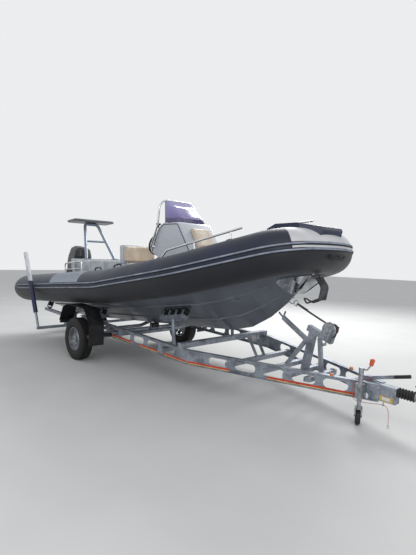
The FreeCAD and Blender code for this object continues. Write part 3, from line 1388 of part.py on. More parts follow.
def coupling():
    """Sliding shaft's collar and the pressed head with its ball socket and hand lever."""
    x0 = DRAWBAR_FRONT + BELLOWS_L
    collar_part = rod(Vector(x0, 0, SHAFT_Z), Vector(x0 + 40, 0, SHAFT_Z), 42)
    neck = side_profile([(x0 + 30, SHAFT_Z - 34), (BALL_X, BALL_Z - 22), (BALL_X, BALL_Z + 38),
                         (x0 + 120, SHAFT_Z + 46), (x0 + 30, SHAFT_Z + 40)], -32, 32)
    cup = rod(Vector(BALL_X, 0, BALL_Z - BALL_R), Vector(BALL_X, 0, BALL_Z), BALL_R + 12)
    dome = Part.makeSphere(BALL_R + 12, Vector(BALL_X, 0, BALL_Z))
    handle = bent_rod([Vector(BALL_X - 10, 0, BALL_Z + 24), Vector(BALL_X - 40, 0, BALL_Z + 95),
                       Vector(BALL_X - 160, 0, BALL_Z + 112)], [30], 11)
    socket = rod(Vector(BALL_X, 0, BALL_Z - BALL_R - 30), Vector(BALL_X, 0, BALL_Z), BALL_R + SOCKET_GAP)
    ball = Part.makeSphere(BALL_R + SOCKET_GAP, Vector(BALL_X, 0, BALL_Z))
    return fused([collar_part, neck, cup, dome, handle]).cut(socket.fuse(ball))


def lever_line():
    """Start of the arm, start of the grip and its end, in the centre plane."""
    start, tip = (Vector(x, 0, z) for x, z in (LEVER_PIVOT, LEVER_TIP))
    run = (tip - start).normalize()
    return start, tip - run * LEVER_GRIP_L, tip


def handbrake():
    """Brake lever on its bracket over the drawbar."""
    start, mid, _ = lever_line()
    x, z = start.x, start.z
    seat = RAIL_TOP - RAIL_FLANGE_T
    bracket = side_profile([(x - 60, seat), (x + 70, seat), (x + 40, z + 22), (x - 20, z + 22)], -30, 30)
    return fused([bracket, bar_between(start.x, start.z, mid.x, mid.z, 34, 26)])


def handbrake_grip():
    _, mid, tip = lever_line()
    return rod(mid, tip, 18)


def jockey_frame(shape):
    """Stand a shape drawn about the mast's axis on the drawbar's starboard side."""
    moved = shape.copy()
    moved.rotate(Vector(), Vector(0, 0, 1), JOCKEY_TURN)
    moved.translate(Vector(JOCKEY_X, JOCKEY_Y, 0))
    return moved


def jockey_wheel_centre():
    """Trail and height of the wheel's centre in the mast's own frame."""
    turn = math.radians(JOCKEY_TURN)
    x = JOCKEY_X + JOCKEY_TRAIL * math.cos(turn)
    return Vector(JOCKEY_TRAIL, 0, level(x, JOCKEY_WHEEL_R))


def jockey_mast():
    """Outer tube, its clamp on the beam's web, and the winding handle on top."""
    low = level(JOCKEY_X, JOCKEY_TUBE_LOW)
    outer = tube(Vector(JOCKEY_X, JOCKEY_Y, low), Vector(JOCKEY_X, JOCKEY_Y, JOCKEY_TUBE_TOP),
                 JOCKEY_TUBE_R, JOCKEY_LEG_R + PIN_GAP)
    cap = rod(Vector(JOCKEY_X, JOCKEY_Y, JOCKEY_TUBE_TOP), Vector(JOCKEY_X, JOCKEY_Y, JOCKEY_TUBE_TOP + 26), 27)
    crank = bent_rod([Vector(JOCKEY_X, JOCKEY_Y, JOCKEY_TUBE_TOP + 14),
                      Vector(JOCKEY_X + 55, JOCKEY_Y, JOCKEY_TUBE_TOP + 14),
                      Vector(JOCKEY_X + 95, JOCKEY_Y, JOCKEY_TUBE_TOP + 74)], [20], 7)
    knob = rod(Vector(JOCKEY_X + 92, JOCKEY_Y, JOCKEY_TUBE_TOP + 70),
               Vector(JOCKEY_X + 104, JOCKEY_Y, JOCKEY_TUBE_TOP + 130), 19)
    bite = rod(Vector(JOCKEY_X, JOCKEY_Y, low), Vector(JOCKEY_X, JOCKEY_Y, JOCKEY_TUBE_TOP), JOCKEY_TUBE_R - 2)
    clamp = box(JOCKEY_X - 32, JOCKEY_X + 32, JOCKEY_Y - 34, 0, RAIL_TOP - RAIL_DEPTH + 12, RAIL_TOP - 12)
    clamp = clamp.cut(bite).cut(mirrored(side_beam()))
    clamp = min(clamp.Solids, key=lambda solid: solid.CenterOfMass.y)
    screw = rod(Vector(JOCKEY_X + 10, JOCKEY_Y - 60, RAIL_TOP - 60),
                Vector(JOCKEY_X + 10, JOCKEY_Y - 30, RAIL_TOP - 60), 8)
    return fused([outer, cap, crank, knob, clamp, screw])


def jockey_leg():
    """Inner tube with the fork and the wheel's pin, about the mast's axis."""
    centre = jockey_wheel_centre()
    crown = centre.z + JOCKEY_WHEEL_R + 8
    leg = rod(Vector(0, 0, crown), Vector(0, 0, level(JOCKEY_X, JOCKEY_TUBE_LOW) + 110), JOCKEY_LEG_R)
    half = JOCKEY_WHEEL_W / 2
    top = box(-30, JOCKEY_TRAIL + 20, -half - 11, half + 11, crown, crown + 6)
    pieces = [leg, top]
    prong = [(-25, crown + 3), (JOCKEY_TRAIL + 15, crown + 3), (centre.x + 16, centre.z - 10),
             (centre.x - 16, centre.z - 10)]
    for side in (-1, 1):
        y0, y1 = sorted((side * (half + 6), side * (half + 11)))
        pieces.append(side_profile(prong, y0, y1))
    pieces.append(rod(centre - Vector(0, half + 14, 0), centre + Vector(0, half + 14, 0), JOCKEY_AXLE_R))
    return fused(pieces)


def jockey_wheel():
    """Solid rubber wheel with a rounded tread, bored for its pin."""
    half = JOCKEY_WHEEL_W / 2
    r = JOCKEY_WHEEL_R
    tread = Part.Arc(Vector(0, half, r - 14), Vector(0, 0, r), Vector(0, -half, r - 14)).toShape()
    outline = [tread, Part.makePolygon([Vector(0, -half, r - 14), Vector(0, -half, JOCKEY_AXLE_R + PIN_GAP),
                                        Vector(0, half, JOCKEY_AXLE_R + PIN_GAP), Vector(0, half, r - 14)])]
    edges = [tread] + outline[1].Edges
    wheel = Part.Face(Part.Wire(edges)).revolve(Vector(), Vector(0, 1, 0), 360)
    wheel.translate(jockey_wheel_centre())
    return wheel


def breakaway_cable():
    """Thin red cable: straight runs joined by arcs, each as large as its runs allow."""
    points = [Vector(*row) for row in CABLE_ROUTE]
    radii = []
    for before, corner, after in zip(points, points[1:], points[2:]):
        turn = math.pi - (before - corner).getAngle(after - corner)
        shorter = min((before - corner).Length, (after - corner).Length)
        radii.append(0.45 * shorter / math.tan(turn / 2))
    print("cable radii", [round(radius) for radius in radii])
    print("cable radii", [round(radius) for radius in radii])
    print("cable length", round(route_wire(points, radii).Length))
    return bent_rod(points, radii, CABLE_R)


def cable_clip():
    """Ferrule and ring at the cable's lower end."""
    end = Vector(*CABLE_ROUTE[-1])
    run = (end - Vector(*CABLE_ROUTE[-2])).normalize()
    ferrule = rod(end, end + run * 18, 4)
    return fused([ferrule, Part.makeTorus(11, 2.5, end + run * 28, Vector(0, 1, 0))])


def cable_ring():
    """Guide ring welded under the drawbar, which the cable passes through."""
    x, y, z = GUIDE_RING
    ring = Part.makeTorus(13, 3, Vector(x, y, z), Vector(1, 0, 0))
    stem = rod(Vector(x, y, z + 12), Vector(x, y, RAIL_TOP - RAIL_DEPTH + RAIL_FLANGE_T), 4)
    return fused([ring, stem])


def reflectors():
    """Round amber side marker on top of each beam."""
    (aft_x, aft_y), (fore_x, fore_y) = RAIL_ROUTE[1:]
    web = aft_y + (fore_y - aft_y) * (MARKER_X - aft_x) / (fore_x - aft_x)
    return both_sides(rod(Vector(MARKER_X, web, RAIL_TOP), Vector(MARKER_X, web, RAIL_TOP + 22), 20))


def carried(bars, forks):
    """Fuse each fork to the bar that it stands on, and keep the rest of the bars."""
    whole = bars
    for fork in forks:
        whole = whole.fuse(fork)
    return Part.makeCompound(whole.Solids)


def build_all():
    boat, chassis = {}, {}
    snug = collar(SEAT_GAP)
    hull_body = hull(snug)
    boat["tube_collar"] = collar()
    boat["rub_strakes"] = rub_strakes(snug)
    boat["hull"] = hull_body
    boat["sole"] = sole()
    boat["console"] = console()
    boat["windscreen"] = windscreen()
    boat["console_hoop"] = console_hoop().cut(boat["console"])
    boat["console_seat"] = console_seat()
    boat["console_cushions"] = Part.makeCompound([console_pad(), console_squab()])
    boat["steering_wheel"] = steering_wheel()
    boat["steering_shaft"] = steering_shaft()
    boat["throttle"] = throttle()
    boat["helm_seat"] = helm_seat()
    boat["helm_cushions"] = helm_cushions()
    boat["bench"] = bench()
    boat["bench_cushions"] = bench_cushions()
    boat["tower"] = tower()
    boat["tower_wing"] = tower_wing()
    boat["handrails"] = both_sides(handrails().cut(snug))
    boat["stern_rails"] = stern_rails()
    step = bow_step().cut(collar_nose(SEAT_GAP))
    boat["bow_step"] = step
    boat["bow_cleat"] = bow_fittings().cut(step)
    boat["grab_handles"] = both_sides(grab_handles().cut(snug))
    band = stem_band(hull_body, snug)
    boat["stem_band"] = band
    boat["bow_eye"] = bow_eye().cut(hull_body)
    pick = anchor()
    boat["bow_channel"] = bow_channel([hull_body, band, snug])
    boat["anchor"] = pick.cut(boat["bow_channel"]).cut(band).cut(hull_body)
    boat["clamp_bracket"] = clamp_bracket()
    boat["swivel_bracket"] = swivel_bracket()
    boat["engine_leg"] = trimmed(engine_leg())
    boat["lower_unit"] = trimmed(lower_unit())
    boat["propeller"] = trimmed(propeller())
    boat["cowl"] = trimmed(cowl())
    boat["hull_rollers"] = hull_rollers()
    bars = cross_members()
    spots = keel_spots()
    chassis["side_beams"] = fused([side_beams(), cable_ring()])
    chassis["cross_members"] = carried(bars, [keel_fork(spots[1], Vector(spots[1].x, 0, DROPPED[1][2])),
                                              keel_fork(spots[2], Vector(FRONT_STAND_X, 0, 190))])
    chassis["axle"] = axle()
    chassis["mudguards"] = mudguards()
    chassis["keel_rollers"] = keel_rollers()
    chassis["winch_post"] = winch_post()
    chassis["winch"] = winch()
    chassis["winch_strap"] = winch_strap()
    chassis["coupling_bellows"] = bellows()
    chassis["coupling"] = coupling()
    chassis["handbrake"] = handbrake()
    chassis["handbrake_grip"] = handbrake_grip()
    chassis["jockey_mast"] = jockey_mast()
    chassis["jockey_leg"] = jockey_frame(jockey_leg())
    chassis["jockey_wheel"] = jockey_frame(jockey_wheel())
    chassis["breakaway_cable"] = breakaway_cable()
    chassis["cable_clip"] = cable_clip()
    chassis["reflectors"] = reflectors()
    parts = {name: laid(shape) for name, shape in boat.items()}
    parts.update({name: hitched(shape) for name, shape in chassis.items()})
    parts.update(road_wheels())
    frame = fused([hitched(rear_frame(spots[0])), transom_stand(), mirrored(transom_stand())])
    parts["rear_frame"] = frame
    parts["guide_posts"] = guide_posts().cut(frame)
    parts["guide_sleeves"] = guide_sleeves()
    parts["cradles"] = cradles(bars)
    aft = parts["tube_collar"].optimalBoundingBox().XMin
    fore = parts["coupling"].optimalBoundingBox().XMax
    for shape in parts.values():
        shape.translate(Vector(-(aft + fore) / 2, 0, 0))
    print("origin stands", round((aft + fore) / 2, 2), "ahead of the axle")
    return parts


def main():
    os.makedirs("parts", exist_ok=True)
    for name, shape in build_all().items():
        shape.exportStep("parts/" + name + ".step")
        print(name, len(shape.Solids), "solids,", round(shape.Volume / 1e6, 2), "dm3, valid", shape.isValid())


main()
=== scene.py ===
# %% [markdown]
# # An inflatable rib boat on its roller trailer
#
# The object is a rigid inflatable boat: a moulded hull with an air-filled collar of coated fabric,
# a centre console, seats, a small tower and an outboard motor. It stands on a galvanised trailer
# with one road wheel on each side and a jockey wheel under the drawbar. The solids come ready from
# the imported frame, in metres, with +X to the bow, +Y to port and +Z up. This file dresses them: it
# gives every solid a surface and makes the pieces whose shape a plain solid can't show, such as
# the collar with its panels, the cushions, the treaded tyres and the small fastenings.

# %% Load the frame
import math
import bmesh
import bpy
from mathutils import Matrix, Vector


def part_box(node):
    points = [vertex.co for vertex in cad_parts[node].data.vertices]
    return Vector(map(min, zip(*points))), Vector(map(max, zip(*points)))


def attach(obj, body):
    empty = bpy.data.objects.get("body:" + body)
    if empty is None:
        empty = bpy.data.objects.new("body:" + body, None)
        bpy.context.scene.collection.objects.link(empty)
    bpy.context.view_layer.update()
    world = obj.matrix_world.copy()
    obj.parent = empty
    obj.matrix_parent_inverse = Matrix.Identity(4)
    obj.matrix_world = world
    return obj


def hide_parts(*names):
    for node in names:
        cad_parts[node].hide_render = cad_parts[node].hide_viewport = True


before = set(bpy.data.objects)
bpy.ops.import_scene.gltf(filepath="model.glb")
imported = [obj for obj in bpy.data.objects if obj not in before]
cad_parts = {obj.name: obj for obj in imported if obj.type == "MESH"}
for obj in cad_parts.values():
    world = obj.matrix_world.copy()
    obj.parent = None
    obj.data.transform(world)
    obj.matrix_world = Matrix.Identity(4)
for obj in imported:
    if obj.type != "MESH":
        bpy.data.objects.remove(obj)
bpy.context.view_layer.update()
ROOT = "boat_and_trailer"

# %% [markdown]
# ## Two frames to measure in
#
# The boat is drawn level and then laid bow up on its rollers, and the trailer is drawn level and
# then tipped on its jockey wheel. Places on either are easiest to read in their own level frame,
# in millimetres, so two small matrices bring them to the shared one.

# %% Boat frame and trailer frame
AXLE_TO_ORIGIN = 1.02493
TRANSOM_TO_AXLE = 1.85
KEEL_HEIGHT = 0.39          # of the keel line at the transom
HUB_HEIGHT = 0.325
BOAT_TRIM = math.radians(4.0)
TRAILER_TRIM = math.radians(2.2)
MM = Matrix.Scale(0.001, 4)
STERN = (-AXLE_TO_ORIGIN - TRANSOM_TO_AXLE, 0, KEEL_HEIGHT)
LAID = Matrix.Translation(STERN) @ Matrix.Rotation(-BOAT_TRIM, 4, "Y") @ MM
HITCHED = Matrix.Translation((-AXLE_TO_ORIGIN, 0, HUB_HEIGHT)) @ Matrix.Rotation(TRAILER_TRIM, 4, "Y") @ MM
print("bow eye at", [round(v, 3) for v in LAID @ Vector((5120, 0, 405))])
print("tow ball at", [round(v, 3) for v in HITCHED @ Vector((4850, 0, 214))])

# %% [markdown]
# ## Camera
#
# The camera stands ahead of the starboard bow at head height. Its place, its aim and its lens were
# worked out from edges of the boat and trailer whose sizes are known. The picture is 416 by 555
# pixels and the lens is 418.6 pixels long, a wide view of 53 by 67 degrees.

# %% Camera
PICTURE = (416, 555)
FOCAL_PIXELS = 418.6
SENSOR = 36.0
CAMERA_PLACE = (6.080 - AXLE_TO_ORIGIN, -4.052, 1.606)


def linked(name, data):
    """A new object that shows the data, linked to the scene."""
    shown = bpy.data.objects.new(name, data)
    bpy.context.scene.collection.objects.link(shown)
    return shown


azimuth, pitch, roll = (math.radians(v) for v in (46.63, 2.47, 1.52))
level_right = Vector((math.cos(azimuth), math.sin(azimuth), 0))
level_ahead = Vector((-math.sin(azimuth), math.cos(azimuth), 0))
ahead = level_ahead * math.cos(pitch) - Vector((0, 0, math.sin(pitch)))
up = level_ahead * math.sin(pitch) + Vector((0, 0, math.cos(pitch)))
right = level_right * math.cos(roll) + up * math.sin(roll)
up = up * math.cos(roll) - level_right * math.sin(roll)
camera = linked("camera", bpy.data.cameras.new("camera"))
camera.data.sensor_width = SENSOR
camera.data.lens = FOCAL_PIXELS * SENSOR / max(PICTURE)
camera.data.clip_end = 200
place = Matrix((right, up, -ahead)).transposed().to_4x4()
place.translation = Vector(CAMERA_PLACE)
camera.matrix_world = place
bpy.context.scene.camera = camera
print("camera at", [round(v, 3) for v in camera.location], "lens", round(camera.data.lens, 2), "mm")

# %% [markdown]
# ## How a finish is written
#
# Every finish is a small graph of nodes that ends in one Principled shader. Colours are written as
# they look on a screen, so one function turns them to the linear values that light adds up in. One
# more function adds a node, sets what it is given and links what feeds it. Patterns read object
# coordinates, in metres, so a noise of scale 1000 / n has patches of about n millimetres.

# %% Colours and wave scales
def linear(code):
    """A screen colour such as "#8a8f94" as linear red, green, blue and an alpha of 1."""
    shares = [int(code[i:i + 2], 16) / 255 for i in (1, 3, 5)]
    return tuple(s / 12.92 if s <= 0.04045 else ((s + 0.055) / 1.055) ** 2.4 for s in shares) + (1.0,)


def crests(millimetres):
    """The scale of a wave pattern whose crests lie about so many millimetres apart."""
    return 2000 / millimetres / 6.28


print("mid grey is", round(linear("#808080")[0], 3), "in linear light")

# %% One function for every node
def feed(owner, node, key, value):
    """Fill an input with a value or a colour code, or link a socket or a node's first output to it."""
    if isinstance(value, bpy.types.Node):
        value = value.outputs[0]
    if isinstance(value, bpy.types.NodeSocket):
        owner.node_tree.links.new(value, node.inputs[key])
    else:
        node.inputs[key].default_value = linear(value) if isinstance(value, str) else value


def add(owner, kind, settings=None, **inputs):
    """Add a node with its settings, among them a ramp's stops. Inputs go by name, or as i and a number."""
    node = owner.node_tree.nodes.new("ShaderNode" + kind)
    settings = dict(settings or {})
    stops = settings.pop("stops", ())
    for name, value in settings.items():
        setattr(node, name, value)
    points = node.color_ramp.elements if stops else []
    while len(points) < len(stops):
        points.new(0.5)
    for point, (position, colour) in zip(points, stops):
        point.position = position
        point.color = linear(colour) if isinstance(colour, str) else (colour, colour, colour, 1)
    for name, value in inputs.items():
        numbered = name[0] == "i" and name[1:].isdigit()
        feed(owner, node, int(name[1:]) if numbered else name.replace("_", " "), value)
    return node


def finish_of(name, **values):
    """A new material with a Principled shader and the values given for its sockets."""
    material = bpy.data.materials.new(name)
    material.use_nodes = True
    shader = material.node_tree.nodes["Principled BSDF"]
    for key, value in values.items():
        feed(material, shader, key.replace("_", " "), value)
    return material, shader


MULTIPLY, BLEND = {"operation": "MULTIPLY"}, {"data_type": "RGBA"}
print("node functions ready")

# %% [markdown]
# ## Galvanised steel
#
# The trailer is mild steel dipped in molten zinc. The zinc freezes in flat crystals, the spangle,
# each a slightly different grey, and turns dull outdoors. Cells of a Voronoi pattern about 14 mm
# across give each crystal its grey and its roughness, and a slow noise adds the darker stains that
# run down from joints.

# %% Galvanised steel
def galvanised_steel():
    material, shader = finish_of("galvanised_steel", Metallic=0.6)
    where = add(material, "TexCoord").outputs["Object"]
    crystal = add(material, "TexVoronoi", i0=where, Scale=1000 / 14).outputs["Color"]
    tone = add(material, "SeparateColor", i0=crystal)
    stain = add(material, "TexNoise", i0=where, Scale=1000 / 160, Detail=5.0)
    grey = add(material, "ValToRGB", {"stops": [(0.0, "#8b929c"), (1.0, "#a8aeb8")]}, i0=tone)
    dull = add(material, "ValToRGB", {"stops": [(0.34, "#a2a4a8"), (0.56, "#ffffff")]}, i0=stain)
    stained = add(material, "Mix", {"data_type": "RGBA", "blend_type": "MULTIPLY"}, i0=0.75, i6=grey, i7=dull)
    pits = add(material, "TexNoise", i0=where, Scale=1000 / 5, Detail=2.0)
    feed(material, shader, "Base Color", stained.outputs[2])
    gloss = add(material, "ValToRGB", {"stops": [(0.0, 0.38), (1.0, 0.55)]}, i0=tone)
    feed(material, shader, "Roughness", gloss)
    feed(material, shader, "Normal", add(material, "Bump", Strength=1.0, Distance=0.15 / 1000, Height=pits))
    return material


GALVANISED = galvanised_steel()
print("dipped steel", GALVANISED.name)

# %% [markdown]
# ## Finishes with one grain
#
# Plated and polished metal, moulded rubber and plastic differ in colour and gloss but age in the
# same way: one slow noise decides where they are dusty, smeared or stained, and both the colour and
# the roughness follow it. A second, finer noise gives the skin its relief. Zinc plate is cool and a
# little dull, the stainless rails are polished almost to a mirror, and the forged anchor is rough,
# its dark grey painted shade. Rubber is dull and greys with dust where it is touched.

# %% One-grain finishes
def grained(name, patch, colours, roughness, relief=None, **values):
    """patch is (mm, detail) of the slow noise and relief (mm, detail, height in mm) of the fine one."""
    material, shader = finish_of(name, **values)
    where = add(material, "TexCoord").outputs["Object"]
    worn = add(material, "TexNoise", i0=where, Scale=1000 / patch[0], Detail=patch[1])
    feed(material, shader, "Base Color", add(material, "ValToRGB", {"stops": colours}, i0=worn))
    feed(material, shader, "Roughness", add(material, "ValToRGB", {"stops": roughness}, i0=worn))
    if relief:
        fine = add(material, "TexNoise", i0=where, Scale=1000 / relief[0], Detail=relief[1])
        bump = add(material, "Bump", Strength=1.0, Distance=relief[2] / 1000, Height=fine)
        feed(material, shader, "Normal", bump)
    return material


def moulded(name, colour, dusty, rough=0.62):
    return grained(name, (70, 6.0), [(0.42, colour), (0.72, dusty)],
                   [(0.3, rough - 0.12), (0.7, rough + 0.15)], (1.6, 2.0, 0.06), IOR=1.5)


ZINC = grained("zinc_plated_steel", (45, 5.0), [(0.35, "#83868a"), (0.55, "#a9adb2"), (0.7, "#b9bcc0")],
               [(0.3, 0.5), (0.6, 0.3)], (2, 2.0, 0.05), Metallic=0.85)
STAINLESS = grained("polished_stainless_steel", (60, 3.0), [(0.3, "#c4c6c8"), (0.7, "#dcdedf")],
                    [(0.3, 0.1), (0.7, 0.24)], Metallic=1.0)
# The anchor is galvanised steel painted dark grey as shade.
PAINTED_SHADE_STEEL = grained("painted_shade_steel", (60, 5.0), [(0.35, "#2c2d31"), (0.65, "#4b4c51")],
                    [(0.3, 0.7), (0.7, 0.45)], (4, 3.0, 0.2), Metallic=0.4)
TYRE_RUBBER = grained("tyre_rubber", (60, 6.0), [(0.45, "#141415"), (0.75, "#2c2a28")],
                      [(0.3, 0.6), (0.7, 0.85)], (2, 2.0, 0.06), IOR=1.5)
BLACK_RUBBER = moulded("black_rubber", "#17171a", "#2c2b2a")
BLACK_PLASTIC = moulded("grained_black_plastic", "#121317", "#232427", 0.5)
WHITE_PLASTIC = moulded("white_pvc", "#e4e6e9", "#c8cbd0", 0.35)
print("finishes", ZINC.name, STAINLESS.name, PAINTED_SHADE_STEEL.name, BLACK_RUBBER.name, BLACK_PLASTIC.name)

# %% [markdown]
# ## Keel rollers
#
# The keel rollers are black rubber too, but the foremost one is old and has chalked grey. All of
# them are one solid, so the colour changes with the place along the trailer.

# %% Keel roller rubber
def keel_roller_rubber():
    material, shader = finish_of("keel_roller_rubber", IOR=1.5, Roughness=0.6)
    where = add(material, "TexCoord").outputs["Object"]
    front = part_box("keel_rollers")[1][0]
    forward = add(material, "SeparateXYZ", i0=where).outputs["X"]
    foremost = add(material, "MapRange", i0=forward, i1=front - 0.3, i2=front - 0.2)
    dust = add(material, "TexNoise", i0=where, Scale=1000 / 70, Detail=6.0)
    chalk = add(material, "TexNoise", i0=where, Scale=1000 / 40, Detail=4.0)
    black = add(material, "ValToRGB", {"stops": [(0.42, "#17171a"), (0.72, "#2c2b2a")]}, i0=dust)
    grey = add(material, "ValToRGB", {"stops": [(0.42, "#9c9fa3"), (0.72, "#74777c")]}, i0=chalk)
    fine = add(material, "TexNoise", i0=where, Scale=1000 / 1.6, Detail=2.0)
    feed(material, shader, "Base Color", add(material, "MixRGB", i0=foremost, i1=black, i2=grey))
    feed(material, shader, "Normal", add(material, "Bump", Strength=1.0, Distance=0.06 / 1000, Height=fine))
    return material


KEEL_RUBBER = keel_roller_rubber()
print("keel rollers", KEEL_RUBBER.name)

# %% [markdown]
# ## Gelcoat
#
# Gelcoat is the smooth polyester skin of a moulded hull. It is glossy, with a faint waviness that
# bends reflections and fine scratches along the bottom, so the scratches are a noise drawn out
# along the boat.

# %% Gelcoats
def gelcoat(name, colour, scuffed, rough):
    material, shader = finish_of(name, Coat_Weight=0.35, Coat_Roughness=0.08, IOR=1.52)
    where = add(material, "TexCoord").outputs["Object"]
    cloudy = add(material, "TexNoise", i0=where, Scale=1000 / 350, Detail=2.0)
    skin = add(material, "ValToRGB", {"stops": [(0.35, scuffed), (0.6, colour)]}, i0=cloudy)
    drawn_out = add(material, "Mapping", i0=where, i3=(0.06, 1.0, 1.0))
    scratch = add(material, "TexNoise", i0=drawn_out, Scale=1000 / 9, Detail=2.0)
    gloss = add(material, "ValToRGB", {"stops": [(0.45, rough), (0.75, rough + 0.22)]}, i0=scratch)
    feed(material, shader, "Base Color", skin)
    feed(material, shader, "Roughness", gloss)
    feed(material, shader, "Normal", add(material, "Bump", Strength=0.12, Distance=0.5 / 1000, Height=cloudy))
    return material


HULL_GELCOAT = gelcoat("grey_gelcoat", "#5e636d", "#555a63", 0.28)
# The tower wing wears a darker copy of the light deck gelcoat: painted shade.
WING_GELCOAT = gelcoat("shaded_gelcoat", "#6a6d73", "#5d6066", 0.3)
DECK_GELCOAT = gelcoat("light_gelcoat", "#c3c8d0", "#b6bcc6", 0.25)
print("gelcoats", HULL_GELCOAT.name, WING_GELCOAT.name, DECK_GELCOAT.name)

# %% [markdown]
# ## Paints, lenses and acrylic
#
# The engine is sprayed satin black over aluminium, the tower silver, and both go grey in a fine
# haze. The screen is thin acrylic with a violet tint, painted darker along its foot as the shade of
# the second layer and the dash seen through it, so its colour follows the height. Side markers are
# moulded lenses: amber plastic with a fluted inside, drawn as fine waves.

# %% Painted and clear finishes
def sprayed_paint(name, colour, rough, flake=0.0):
    material, shader = finish_of(name, Coat_Weight=0.25, Coat_Roughness=0.15, Metallic=flake)
    where = add(material, "TexCoord").outputs["Object"]
    haze = add(material, "TexNoise", i0=where, Scale=1000 / 90, Detail=4.0)
    rubbed = add(material, "ValToRGB", {"stops": [(0.5, 0.0), (0.8, 0.12)]}, i0=haze)
    gloss = add(material, "ValToRGB", {"stops": [(0.3, rough), (0.8, rough + 0.2)]}, i0=haze)
    peel = add(material, "TexNoise", i0=where, Scale=1000 / 1.2, Detail=1.0)
    feed(material, shader, "Base Color", add(material, "MixRGB", i0=rubbed, i1=colour, i2="#777b80"))
    feed(material, shader, "Roughness", gloss)
    feed(material, shader, "Normal", add(material, "Bump", Strength=1.0, Distance=0.02 / 1000, Height=peel))
    return material


def tinted_acrylic():
    material, shader = finish_of("violet_acrylic", Roughness=0.12, IOR=1.49, Alpha=0.72)
    where = add(material, "TexCoord").outputs["Object"]
    height = add(material, "SeparateXYZ", i0=where).outputs["Z"]
    rise = add(material, "MapRange", i0=height, i1=2.10, i2=2.45)
    # The dark band at the foot is painted shade of the second layer and the dash seen through it.
    tints = [(0.25, "#33256f"), (0.29, "#7568ae"), (1.0, "#9a97cc")]
    feed(material, shader, "Base Color", add(material, "ValToRGB", {"stops": tints}, i0=rise))
    return material


def moulded_lens():
    material, shader = finish_of("amber_lens", Roughness=0.15, IOR=1.49, Coat_Weight=0.5)
    where = add(material, "TexCoord").outputs["Object"]
    flutes = add(material, "TexWave", i0=where, Scale=crests(12)).outputs["Fac"]
    amber = add(material, "ValToRGB", {"stops": [(0.2, "#c25c12"), (0.9, "#f0a25e")]}, i0=flutes)
    feed(material, shader, "Base Color", amber)
    feed(material, shader, "Normal", add(material, "Bump", Strength=1.0, Distance=0.4 / 1000, Height=flutes))
    return material


ENGINE_PAINT = sprayed_paint("black_engine_paint", "#111216", 0.45)
TOWER_PAINT = sprayed_paint("silver_tube_paint", "#8d99a8", 0.25, 0.3)
ORANGE_PLASTIC = sprayed_paint("orange_plastic", "#d2582a", 0.35)
ACRYLIC = tinted_acrylic()
AMBER = moulded_lens()
print("paints", ENGINE_PAINT.name, TOWER_PAINT.name, ACRYLIC.name, AMBER.name)

# %% [markdown]
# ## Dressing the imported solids
#
# A solid whose shape is already right keeps its mesh and only gets a finish. One table says which
# finish each one wears, so the whole object can be read at a glance.

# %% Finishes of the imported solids
WEARS = {
    GALVANISED: ("side_beams", "cross_members", "rear_frame", "axle", "cradles", "winch_post", "guide_posts",
                 "handbrake"),
    PAINTED_SHADE_STEEL: ("anchor",),
    ZINC: ("winch", "coupling", "jockey_mast", "jockey_leg", "cable_clip", "rim_starboard", "rim_port"),
    STAINLESS: ("console_hoop", "handrails", "stern_rails", "bow_cleat", "stem_band", "bow_eye",
                "bow_channel"),
    KEEL_RUBBER: ("keel_rollers",),
    BLACK_RUBBER: ("hull_rollers", "coupling_bellows", "handbrake_grip", "jockey_wheel",
                   "grab_handles", "steering_wheel"),
    BLACK_PLASTIC: ("mudguards", "steering_shaft", "throttle"),
    HULL_GELCOAT: ("hull",),
    DECK_GELCOAT: ("console", "console_seat", "helm_seat", "bench"),
    WING_GELCOAT: ("tower_wing",),
    ENGINE_PAINT: ("clamp_bracket", "swivel_bracket", "engine_leg", "lower_unit", "propeller", "cowl"),
    TOWER_PAINT: ("tower",),
    ACRYLIC: ("windscreen",),
    AMBER: ("reflectors",),
}


def wear(node, material):
    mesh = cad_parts[node].data
    mesh.materials.clear()
    mesh.materials.append(material)


for material, nodes in WEARS.items():
    for node in nodes:
        wear(node, material)
undressed = sorted(set(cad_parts) - {node for nodes in WEARS.values() for node in nodes})
print("solids still to dress or replace:", undressed)

# %% [markdown]
# ## Sweeping a section along a route
#
# The collar, its rub strakes, pipes and straps are all one section carried along a route. A curve
# with a bevel could do it, but its mesh keeps no record of where a point lies along the route or
# which way it faces, and the colour panels need that. So a ring of vertices is extruded station by
# station, and each vertex notes how far along it is and how far it faces outwards and upwards.

# %% Stations of a route
def route_stations(points, radii, step):
    """Points of straight runs joined by tangent arcs, no more than a step apart."""
    points = [Vector(point) for point in points]
    stations = [points[0]]

    def run_to(target):
        start = stations[-1]
        count = max(1, math.ceil((target - start).length / step))
        stations.extend(start.lerp(target, (i + 1) / count) for i in range(count))

    for before, corner, after, radius in zip(points, points[1:], points[2:], radii):
        back, on = (before - corner).normalized(), (after - corner).normalized()
        half = back.angle(on) / 2
        centre = corner + (back + on).normalized() * (radius / math.sin(half))
        first = corner + back * (radius / math.tan(half))
        run_to(first)
        arm, axis, turn = first - centre, (-back).cross(on).normalized(), math.pi - 2 * half
        count = max(2, math.ceil(radius * turn / step), math.ceil(turn / 0.2))
        stations.extend(centre + Matrix.Rotation(turn * (i + 1) / count, 3, axis) @ arm for i in range(count))
    run_to(points[-1])
    return stations


def frames_along(stations, upright=(0, 0, 1), sizes=None):
    """At each station a matrix whose Z points along the route and whose Y stays near upright."""
    frames = []
    for index, here in enumerate(stations):
        along = (stations[min(index + 1, len(stations) - 1)] - stations[max(index - 1, 0)]).normalized()
        side = Vector(upright).cross(along).normalized()
        place = Matrix((side, along.cross(side), along)).transposed().to_4x4()
        place.translation = here
        frames.append(place @ Matrix.Scale(sizes[index] if sizes else 1, 4))
    return frames


print("routes ready")

